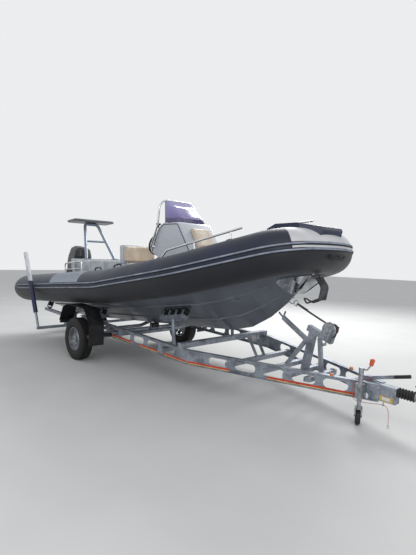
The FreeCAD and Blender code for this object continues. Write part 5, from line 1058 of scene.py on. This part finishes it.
def tyre(name, node, body, centre):
    mesh = bmesh.new()
    half = TYRE_SIDE + [(r, -a) for r, a in reversed(TYRE_SIDE)] + [(178, -60), (178, 60)]
    ring = [mesh.verts.new((r, a, 0)) for r, a in half]
    edges = [mesh.edges.new((ring[i - 1], ring[i])) for i in range(len(ring))]
    bmesh.ops.spin(mesh, geom=ring + edges, cent=(0, 0, 0), axis=(0, 1, 0), angle=math.tau, steps=96,
                   use_merge=True)
    bmesh.ops.remove_doubles(mesh, verts=mesh.verts[:], dist=0.01)
    pitch = math.tau * TREAD_RADIUS / TREAD_PITCHES
    for index in range(TREAD_PITCHES):
        for row, (across, width, length) in enumerate(TREAD_BLOCKS):
            turn = Matrix.Rotation(math.tau * (index + 0.5 * (row % 2)) / TREAD_PITCHES, 4, "Y")
            block(mesh, (TREAD_RADIUS - 1.5, across, 0), (9, width, pitch * length), turn)
    into = Matrix.Translation(centre) @ Matrix.Scale(0.001, 4)
    return publish(name, mesh, TYRE_RUBBER, into, body=body, stands_for=[node], crease=28)


TRACK_HALF = 1.05
for side, which in ((-1, "starboard"), (1, "port")):
    hub = (-AXLE_TO_ORIGIN, side * TRACK_HALF, HUB_HEIGHT)
    tyre("tyre_tread_" + which, "tyre_" + which, "wheel_" + which, hub)

# %% [markdown]
# ## Wheel nuts
#
# Five nuts hold each pressed rim to its hub. A nut is a six-sided prism with a chamfer at its outer
# end, and on the trailer's clamps it stands on a washer.

# %% Nuts on the rims
def hex_nut(mesh, place, across, height, washer=0.0):
    """A six-sided nut standing along Z of place; across is its width over the flats."""
    corner = across / 1.732
    verts = bmesh.ops.create_cone(mesh, cap_ends=True, segments=6, radius1=corner, radius2=corner,
                                  depth=height)["verts"]
    edges = [e for e in {e for v in verts for e in v.link_edges} if min(v.co.z for v in e.verts) > 0]
    made = bmesh.ops.bevel(mesh, geom=edges, offset=across * 0.08, segments=1, affect="EDGES", profile=0.5,
                           material=-1)
    grown = set(verts) | {v for f in made["faces"] for v in f.verts}
    grown = {v for v in grown if v.is_valid}
    grown |= {w for v in grown for e in v.link_edges for w in e.verts}
    stand = place @ Matrix.Translation((0, 0, height / 2 + washer))
    bmesh.ops.transform(mesh, matrix=stand, verts=list(grown))
    if washer:
        rim = across * 0.95
        flat = bmesh.ops.create_cone(mesh, cap_ends=True, segments=20, radius1=rim, radius2=rim,
                                     depth=washer)["verts"]
        bmesh.ops.transform(mesh, matrix=place @ Matrix.Translation((0, 0, washer / 2)), verts=flat)


for side, which in ((-1, "starboard"), (1, "port")):
    nuts = bmesh.new()
    out = Matrix.Rotation(-side * math.pi / 2, 4, "X")
    for index in range(5):
        around = Matrix.Rotation(math.tau * index / 5 + 0.3, 4, "Z")
        hex_nut(nuts, out @ around @ Matrix.Translation((68, 0, 47)), 19, 15)
    into = Matrix.Translation((-AXLE_TO_ORIGIN, side * TRACK_HALF, HUB_HEIGHT)) @ Matrix.Scale(0.001, 4)
    publish("wheel_nuts_" + which, nuts, ZINC, into, body="wheel_" + which)

# %% [markdown]
# ## Stripes on the side beams
#
# Reflective tape runs along the outer face of each beam under its slots: an orange-red band with a
# thinner pale yellow one below. Tape is a thin sheet, so each band is a strip a few tenths of a
# millimetre proud of the steel, cut where the cross tubes and brackets leave it no room.

# %% Tape along the beams
def vinyl_tape(name, colour, worn):
    material, shader = finish_of(name, IOR=1.5)
    where = add(material, "TexCoord").outputs["Object"]
    cells = add(material, "TexVoronoi", i0=where, Scale=1000 / 7).outputs["Distance"]
    dirt = add(material, "TexNoise", i0=where, Scale=1000 / 60, Detail=5.0)
    feed(material, shader, "Base Color",
         add(material, "ValToRGB", {"stops": [(0.35, worn), (0.6, colour)]}, i0=dirt))
    feed(material, shader, "Roughness",
         add(material, "ValToRGB", {"stops": [(0.1, 0.25), (0.7, 0.4)]}, i0=cells))
    feed(material, shader, "Normal", add(material, "Bump", Strength=0.4, Distance=0.1 / 1000, Height=cells))
    return material


ORANGE_TAPE = vinyl_tape("orange_reflective_tape", "#d8442a", "#b03a28")
YELLOW_TAPE = vinyl_tape("pale_yellow_tape", "#e3cf96", "#bda97a")
BEAM_Y = 790.0
BEAM_FACE = BEAM_Y + 4.0
TAPE_GAP = (560.0, 1010.0)      # bare stretch of the converging run, from the bend
BEND_X, END_X, END_Y = 2290.0, 4310.0, 45.0
STRAIGHT_RUNS = ((560.0, 1110.0), (1290.0, 1700.0), (1830.0, 2280.0))
# name, tape, height of the middle, height of the band
BANDS = [("orange_bands", ORANGE_TAPE, 134.0, 21.0), ("yellow_bands", YELLOW_TAPE, 119.0, 9.0)]
lean_in = math.atan2(END_Y - BEAM_Y, END_X - BEND_X)
run = math.hypot(END_X - BEND_X, BEAM_Y - END_Y)
for name, tape, height, depth in BANDS:
    bands = bmesh.new()
    for side in (-1, 1):
        for near, far in STRAIGHT_RUNS:
            block(bands, ((near + far) / 2, side * (BEAM_FACE + 0.2), height), (far - near, 0.5, depth))
        place = Matrix.Translation((BEND_X, side * BEAM_Y, height)) @ Matrix.Rotation(side * lean_in, 4, "Z")
        for near, far in ((15.0, TAPE_GAP[0]), (TAPE_GAP[1], run - 180)):
            block(bands, ((near + far) / 2, side * 4.2, 0), (far - near, 0.5, depth), place)
    publish(name, bands, tape, HITCHED)

# %% [markdown]
# ## Guide sleeves, winch strap and cable
#
# The tall posts at the stern carry plastic sleeves, pale above and dark blue below. The winch strap
# is 50 mm webbing: a flat section swept along a line that sags a little, with its end folded and
# sewn round a link. The breakaway cable is a free cord, so it is one smooth curve through the
# points that the solid was drawn with.

# %% Sleeve plastic
def sleeve_plastic():
    material, shader = finish_of("sleeve_polyethylene", IOR=1.5)
    where = add(material, "TexCoord").outputs["Object"]
    height = add(material, "SeparateXYZ", i0=where).outputs[2]
    scuff = add(material, "TexNoise", i0=add(material, "Mapping", i0=where, i3=(1, 1, 0.2)),
                Scale=1000 / 50, Detail=5.0)
    pale = add(material, "ValToRGB", {"stops": [(0.35, "#b4b8bf"), (0.6, "#e3e4e8")]}, i0=scuff)
    dark = add(material, "ValToRGB", {"stops": [(0.35, "#171a38"), (0.7, "#2b3058")]}, i0=scuff)
    feed(material, shader, "Base Color",
         add(material, "Mix", BLEND, i0=add(material, "MapRange", i0=height, i1=1.148, i2=1.154), i6=dark,
             i7=pale).outputs[2])
    feed(material, shader, "Roughness",
         add(material, "ValToRGB", {"stops": [(0.3, 0.35), (0.7, 0.55)]}, i0=scuff))
    feed(material, shader, "Normal", add(material, "Bump", Strength=0.4, Distance=0.2 / 1000, Height=scuff))
    return material


wear("guide_sleeves", sleeve_plastic())
print("guide sleeves dressed")

# %% Webbing of the winch strap
def webbing():
    material, shader = finish_of("polyester_webbing", IOR=1.5, Sheen_Weight=0.2)
    where = add(material, "TexCoord").outputs["Object"]
    ribs = add(material, "TexWave", {"wave_type": "BANDS", "bands_direction": "Y"}, i0=where,
               Scale=crests(8)).outputs["Fac"]
    fade = add(material, "TexNoise", i0=where, Scale=1000 / 60, Detail=4.0)
    feed(material, shader, "Base Color",
         add(material, "ValToRGB", {"stops": [(0.35, "#17181c"), (0.65, "#2b2c33")]}, i0=fade))
    feed(material, shader, "Roughness",
         add(material, "ValToRGB", {"stops": [(0.3, 0.7), (0.7, 0.85)]}, i0=fade))
    feed(material, shader, "Normal", add(material, "Bump", Strength=0.8, Distance=0.5 / 1000, Height=ribs))
    return material


def boat_from(point):
    """A point of the boat frame in the trailer frame, both in millimetres."""
    return HITCHED.inverted() @ LAID @ Vector(point)


EYE = (boat_from((5162, 0, 425)) + boat_from((5130, 0, 365))) / 2
(AFT_X, AFT_Z), (FORE_X, FORE_Z) = (3440, 682), (3745, 580)     # ends of the winch arm's middle line
WINCH_X = 3680
ARM_HALF = 33               # from the arm's middle line up to the winch's foot
DRUM_HEIGHT = 74            # of the drum's axle above that foot
WOUND_RADIUS = 35.8         # at which the strap leaves the drum
slope = math.atan2(FORE_Z - AFT_Z, FORE_X - AFT_X)
arm_z = AFT_Z + (FORE_Z - AFT_Z) * ((WINCH_X - AFT_X) / (FORE_X - AFT_X))
winch_foot = (WINCH_X - math.sin(slope) * ARM_HALF, 0, arm_z + math.cos(slope) * ARM_HALF)
winch_seat = Matrix.Translation(winch_foot) @ Matrix.Rotation(-slope, 4, "Y")
drum = winch_seat @ Vector((0, 0, DRUM_HEIGHT))
run = (EYE - drum).normalized()
lift = Vector((run.z, 0, -run.x)) * WOUND_RADIUS
strap_start = drum + lift
strap_end = EYE - (EYE - strap_start).normalized() * 48
strap = bmesh.new()
middle = (strap_start + strap_end) / 2 + Vector((0, 0, -9))
flat = [(-25, -1.5), (25, -1.5), (25, 1.5), (-25, 1.5)]
line = [strap_start.lerp(middle, t).lerp(middle.lerp(strap_end, t), t) for t in (i / 20 for i in range(21))]
sweep(strap, frames_along(line), flat)
back = (strap_start - strap_end).normalized()
fold = [strap_end + back * d + Vector((0, 0, 4)) for d in (150, 100, 50, 4)]
sweep(strap, frames_along(fold), flat)
publish("winch_webbing", strap, webbing(), HITCHED, stands_for=["winch_strap"])

# %% Strap on the drum and link at the bow eye
# The rest of the webbing is wound on the drum between the side plates.
winding = bmesh.new()
turns = [(0, -27)] + [(52 + 2.0 * (i % 2), -27 + 54 * i / 12) for i in range(13)] + [(0, 27)]
axle = winch_seat @ Matrix.Translation((0, 0, DRUM_HEIGHT)) @ Matrix.Rotation(math.pi / 2, 4, "X")
disc_on(winding, axle, turns, 40)
wound = vinyl_tape("rust_red_webbing", "#7e4034", "#5a3330")
publish("strap_winding", winding, wound, HITCHED)
link = bmesh.new()
towards = (EYE - strap_end).normalized()
hook = Matrix.Translation(strap_end + towards * 14) @ towards.to_track_quat("X", "Y").to_matrix().to_4x4()
LINK = ((-18, -30, 0), (-18, 30, 0), (16, 30, 0), (30, 0, 0), (16, -30, 0), (-18, -30, 0))
pipe(link, [hook @ Vector(point) for point in LINK], [6, 6, 12, 6], 5.0, 10, (0, 0.2, 1))
publish("strap_link", link, ZINC, HITCHED)

# %% Breakaway cable
CABLE_POINTS = [
    (4226, -32, 300), (4206, -72, 303), (4172, -112, 310), (4130, -148, 300), (4106, -174, 258),
    (4100, -180, 205), (4102, -179, 150), (4110, -172, 97), (4140, -134, 74), (4184, -102, 68),
    (4232, -76, 69), (4282, -54, 74), (4330, -39, 80), (4376, -30, 78), (4402, -28, 44), (4408, -26, -8),
    (4411, -27, -58), (4413, -28, -98)]


def cable_sheath():
    material, shader = finish_of("red_pvc_cable", IOR=1.5, Coat_Weight=0.1)
    lay = add(material, "TexWave", {"wave_type": "BANDS", "bands_direction": "DIAGONAL"},
              i0=add(material, "TexCoord").outputs["Object"], Scale=1000 / 4 / 6.28).outputs["Fac"]
    feed(material, shader, "Base Color",
         add(material, "ValToRGB", {"stops": [(0.35, "#a83a2a"), (0.65, "#cf5440")]},
             i0=add(material, "TexNoise", i0=add(material, "TexCoord").outputs["Object"], Scale=1000 / 30,
                    Detail=4.0)))
    feed(material, shader, "Roughness",
         add(material, "ValToRGB", {"stops": [(0.2, 0.3), (0.8, 0.5)]}, i0=lay))
    feed(material, shader, "Normal", add(material, "Bump", Strength=0.6, Distance=0.3 / 1000, Height=lay))
    return material


curve = bpy.data.curves.new("breakaway_wire", "CURVE")
curve.dimensions = "3D"
spline = curve.splines.new("NURBS")
spline.points.add(len(CABLE_POINTS) - 1)
for point, place in zip(spline.points, CABLE_POINTS):
    point.co = (*(HITCHED @ Vector(place)), 1.0)
spline.order_u = 3
spline.use_endpoint_u = True
curve.bevel_depth = 0.0025
curve.bevel_resolution = 3
curve.use_fill_caps = True
curve.materials.append(cable_sheath())
cable = linked("breakaway_wire", curve)
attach(cable, ROOT)
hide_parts("breakaway_cable")
print("cable through", len(CABLE_POINTS), "points")

# %% [markdown]
# ## Bow fittings
#
# A pressed ring for a rope is let into each side of the bow cap, a small fairlead roller sits on its
# front edge and a moulded handle is bonded to the nose below the strakes. The ring is a pipe bent
# into an oval, and the handle a strap that is swept over the tube and sinks into it at both ends.

# %% Rings and fairlead
fittings = bmesh.new()
for side in (-1, 1):
    oval = [(5275, side * 348, 1180), (5275, side * 352, 1206), (5375, side * 346, 1206),
            (5375, side * 342, 1180)]
    pipe(fittings, oval + [oval[0]], [12, 12, 12], 4.5, 10, (0, 1, 0.1))
for side in (-1, 1):
    pipe(fittings, [(5612, side * 60, 1172), (5612, side * 60, 1214)], [], 7.0, 12, (0, 1, 0))
pipe(fittings, [(5612, -66, 1208), (5612, 66, 1208)], [], 5.0, 12)
publish("bow_ring_and_fairlead", fittings, STAINLESS, LAID)

# %% Nose handle
handle = bmesh.new()
strap_section = [(-4, -14), (3, -14), (6, -8), (6, 8), (3, 14), (-4, 14)]
grip = [(5726, -100, 868), (5752, -78, 858), (5762, -40, 852)]
grip += [(x, -y, z) for x, y, z in reversed(grip)]
sweep(handle, frames_along(route_stations(grip, [20, 30, 30, 20], 12.0)), strap_section)
for side in (-1, 1):
    foot = bmesh.ops.create_cone(handle, cap_ends=True, segments=24, radius1=34, radius2=30,
                                 depth=10)["verts"]
    turn = Matrix.Translation((5722, side * 104, 868)) @ Matrix.Rotation(math.radians(112), 4, "Y")
    bmesh.ops.transform(handle, matrix=turn, verts=foot)
publish("nose_handle", handle, BLACK_RUBBER, LAID)

# %% [markdown]
# ## Valves and rail feet
#
# Air goes into the tubes through valves, one per chamber, recessed in a moulded ring with a screw
# cap. Each foot of the handrails stands on a bonded rubber patch that spreads its pull on the
# fabric. All of these are short turned pieces set square on the tube.

# %% Valves on the collar
def on_collar(run, turn):
    """A frame on the collar's skin, so many metres from the middle of the bow and turned above level."""
    index = min(range(len(collar_frames)), key=lambda i: abs(collar_runs[i] - run))
    skin = Matrix.Rotation(turn, 4, "Z") @ Matrix.Translation((COLLAR_R, 0, 0))
    return collar_frames[index] @ skin @ Matrix.Rotation(math.pi / 2, 4, "Y")


collar_runs = [-half_length / 1000]
for before, after in zip(stations, stations[1:]):
    collar_runs.append(collar_runs[-1] + (after - before).length / 1000)
VALVE_RINGS = [(0, -6), (44, -6), (44, 2), (38, 5), (26, 5), (24, 1), (22, 8), (18, 11), (0, 11)]
valves = bmesh.new()
for run in (-4.6, -2.4, 2.4, 4.6):
    disc_on(valves, on_collar(run, math.radians(128)), VALVE_RINGS)
publish("air_valves", valves, BLACK_PLASTIC, LAID)

# %% Patches under the rail feet
RAIL_FEET = ((3820, 911, 954), (4324, 801, 1032), (4816, 694, 1109))
patches = bmesh.new()
for x, y, z in RAIL_FEET:
    for side in (-1, 1):
        foot = Vector((x, side * y, z))
        axis = min((place.translation for place in collar_frames), key=lambda point: (point - foot).length)
        out = (foot - axis).normalized()
        place = Matrix.Translation(axis + out * COLLAR_R) @ out.to_track_quat("Z", "Y").to_matrix().to_4x4()
        disc_on(patches, place, [(0, -8), (58, -8), (58, -1), (50, 3), (0, 5)], 32)
publish("rail_patches", patches, BLACK_RUBBER, LAID)

# %% [markdown]
# ## Trailer fastenings
#
# The cross tubes are clamped to the beams with U-bolts, and their nuts show on top. The jockey
# wheel's crank and the coupling have orange grips, the winch's gears turn in a plated case, the
# drawbar carries a blank plate, and a round white disc sits beside it.

# %% Nuts of the U-bolts
# place along the trailer and height of the nuts of each clamp
CLAMPS = ((-330, 163), (520, 163), (1760, 163), (2180, 282))
bolts = bmesh.new()
for x, z in CLAMPS:
    for side in (-1, 1):
        for dx in (-48, 48):
            hex_nut(bolts, Matrix.Translation((x + dx, side * 742.0, z)), 19, 12, 3)
publish("clamp_nuts", bolts, ZINC, HITCHED)

# %% Winch gear case and orange grips
grips = bmesh.new()
crank_end = Matrix.Translation((4263, -162, 474)) @ Matrix.Rotation(math.radians(11.3), 4, "Y")
lever_end = Matrix.Translation((4688, 0, 326)) @ Matrix.Rotation(-math.radians(82), 4, "Y")
KNOB = [(0, -8), (15, -8), (21, -2), (20, 12), (21, 34), (24, 46), (22, 56), (14, 61), (0, 62)]
disc_on(grips, crank_end, KNOB)
disc_on(grips, lever_end, [(0, -4), (13, -4), (13.5, 30), (14, 60), (10, 66), (0, 67)])
gear_case = bmesh.new()
for y, radius, depth in ((-37, 82, 9), (-44, 54, 5)):
    case = winch_seat @ Matrix.Translation((0, y, DRUM_HEIGHT)) @ Matrix.Rotation(math.pi / 2, 4, "X")
    disc_on(gear_case, case, [(0, 0), (radius, 0), (radius, depth - 3), (radius - 4, depth), (0, depth)], 40)
publish("winch_gear_case", gear_case, ZINC, HITCHED)
publish("orange_grips", grips, ORANGE_PLASTIC, HITCHED)

# %% Blank plate and disc
plate = bmesh.new()
block(plate, (4380, -45.6, 146), (128, 1.0, 50))
label_stock = vinyl_tape("yellow_label_stock", "#d9b95c", "#bd9f50")
publish("blank_plate", plate, label_stock, HITCHED)
field = bmesh.new()
block(field, (4380, -46.3, 146), (76, 0.6, 30))
beam_end = Matrix.Translation((4187, -94.5, 138)) @ Matrix.Rotation(-lean_in, 4, "Z")
disc_on(field, beam_end @ Matrix.Rotation(math.pi / 2, 4, "X"), [(0, 0), (36, 0), (36, 2), (34, 3.5), (0, 4)])
publish("plate_field", field, WHITE_PLASTIC, HITCHED)

# %% [markdown]
# ## Closed skin under the fore deck
#
# The solid's cockpit breaks through the hull's bottom by a hand's breadth on each side, under the
# forward corners of the deck. The real bottom is closed there, so a thin round of the same gelcoat
# lies flush in that plane of the hull, whose slope is read from the hull itself.

# %% Hull skin closed
closing = bmesh.new()
for side in (-1, 1):
    near = Vector((1.736, side * 0.459, 1.2))
    _, skin, outward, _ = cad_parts["hull"].closest_point_on_mesh(near)
    middle = Vector((1.697, side * 0.408, 1.125))
    middle -= outward * (middle - skin).dot(outward)
    place = Matrix.Translation(middle * 1000) @ outward.to_track_quat("Z", "Y").to_matrix().to_4x4()
    disc_on(closing, place, [(0, -1.5), (93, -1.5), (93, 0.15), (86, 0.4), (0, 0.4)], 48)
publish("hull_skin_closing", closing, HULL_GELCOAT, Matrix.Scale(0.001, 4))

# %% [markdown]
# ## Floor, light and background
#
# A pale floor and a pale world keep attention on the object. The world lights everything evenly and
# two large soft lamps shape it: one high on the port side, as the sun behind the boat was, and a
# weaker one ahead. Rays from the camera, from metal and through acrylic see a plain near-white
# backdrop, while the light on the object stays at a level at which a colour looks as written.

# %% Floor and world
FLOOR_HALF = 40.0
floor_mesh = bmesh.new()
bmesh.ops.create_grid(floor_mesh, x_segments=1, y_segments=1, size=FLOOR_HALF)
floor_data = bpy.data.meshes.new("floor")
floor_mesh.to_mesh(floor_data)
floor_mesh.free()
floor = linked("floor", floor_data)
floor_paint, floor_shader = finish_of("pale_floor", Roughness=0.9)
specks = add(floor_paint, "TexNoise", i0=add(floor_paint, "TexCoord").outputs["Object"], Scale=1000 / 900,
             Detail=2.0)
feed(floor_paint, floor_shader, "Base Color",
     add(floor_paint, "ValToRGB", {"stops": [(0.3, "#d8d8d6"), (0.7, "#dededc")]}, i0=specks))
floor_data.materials.append(floor_paint)

world = bpy.data.worlds.new("studio")
bpy.context.scene.world = world
world.use_nodes = True
lit = world.node_tree.nodes["Background"]
feed(world, lit, "Color", "#eef1f6")
feed(world, lit, "Strength", 0.62)
shown = add(world, "Background", Color="#f2f3f4", Strength=0.95)
ray = add(world, "LightPath").outputs
seen = add(world, "Math", {"operation": "MAXIMUM"}, i0=ray["Is Camera Ray"], i1=ray["Is Glossy Ray"])
clear = add(world, "Math", {"operation": "MAXIMUM"}, i0=seen, i1=ray["Is Transmission Ray"])
mix = add(world, "MixShader", i0=clear, i1=lit, i2=shown)
feed(world, world.node_tree.nodes["World Output"], "Surface", mix)
print("world light", lit.inputs["Strength"].default_value)

# %% Lamps
# name, place, aim, power in watts, side in metres
LAMPS = [
    ("sun_side", (-2.0, 6.5, 7.0), (0.4, 0.0, 0.9), 620, 4.0),
    ("bow_fill", (8.0, -5.5, 5.0), (0.5, 0.0, 0.8), 240, 5.0),
]
for name, where, aim, power, side in LAMPS:
    lamp = bpy.data.lights.new(name, "AREA")
    lamp.energy, lamp.size = power, side
    holder = linked(name, lamp)
    holder.location = where
    holder.rotation_euler = (Vector(aim) - Vector(where)).to_track_quat("-Z", "Y").to_euler()
bpy.context.scene.view_settings.view_transform = "Standard"
print("stage set with", len(LAMPS), "lamps")
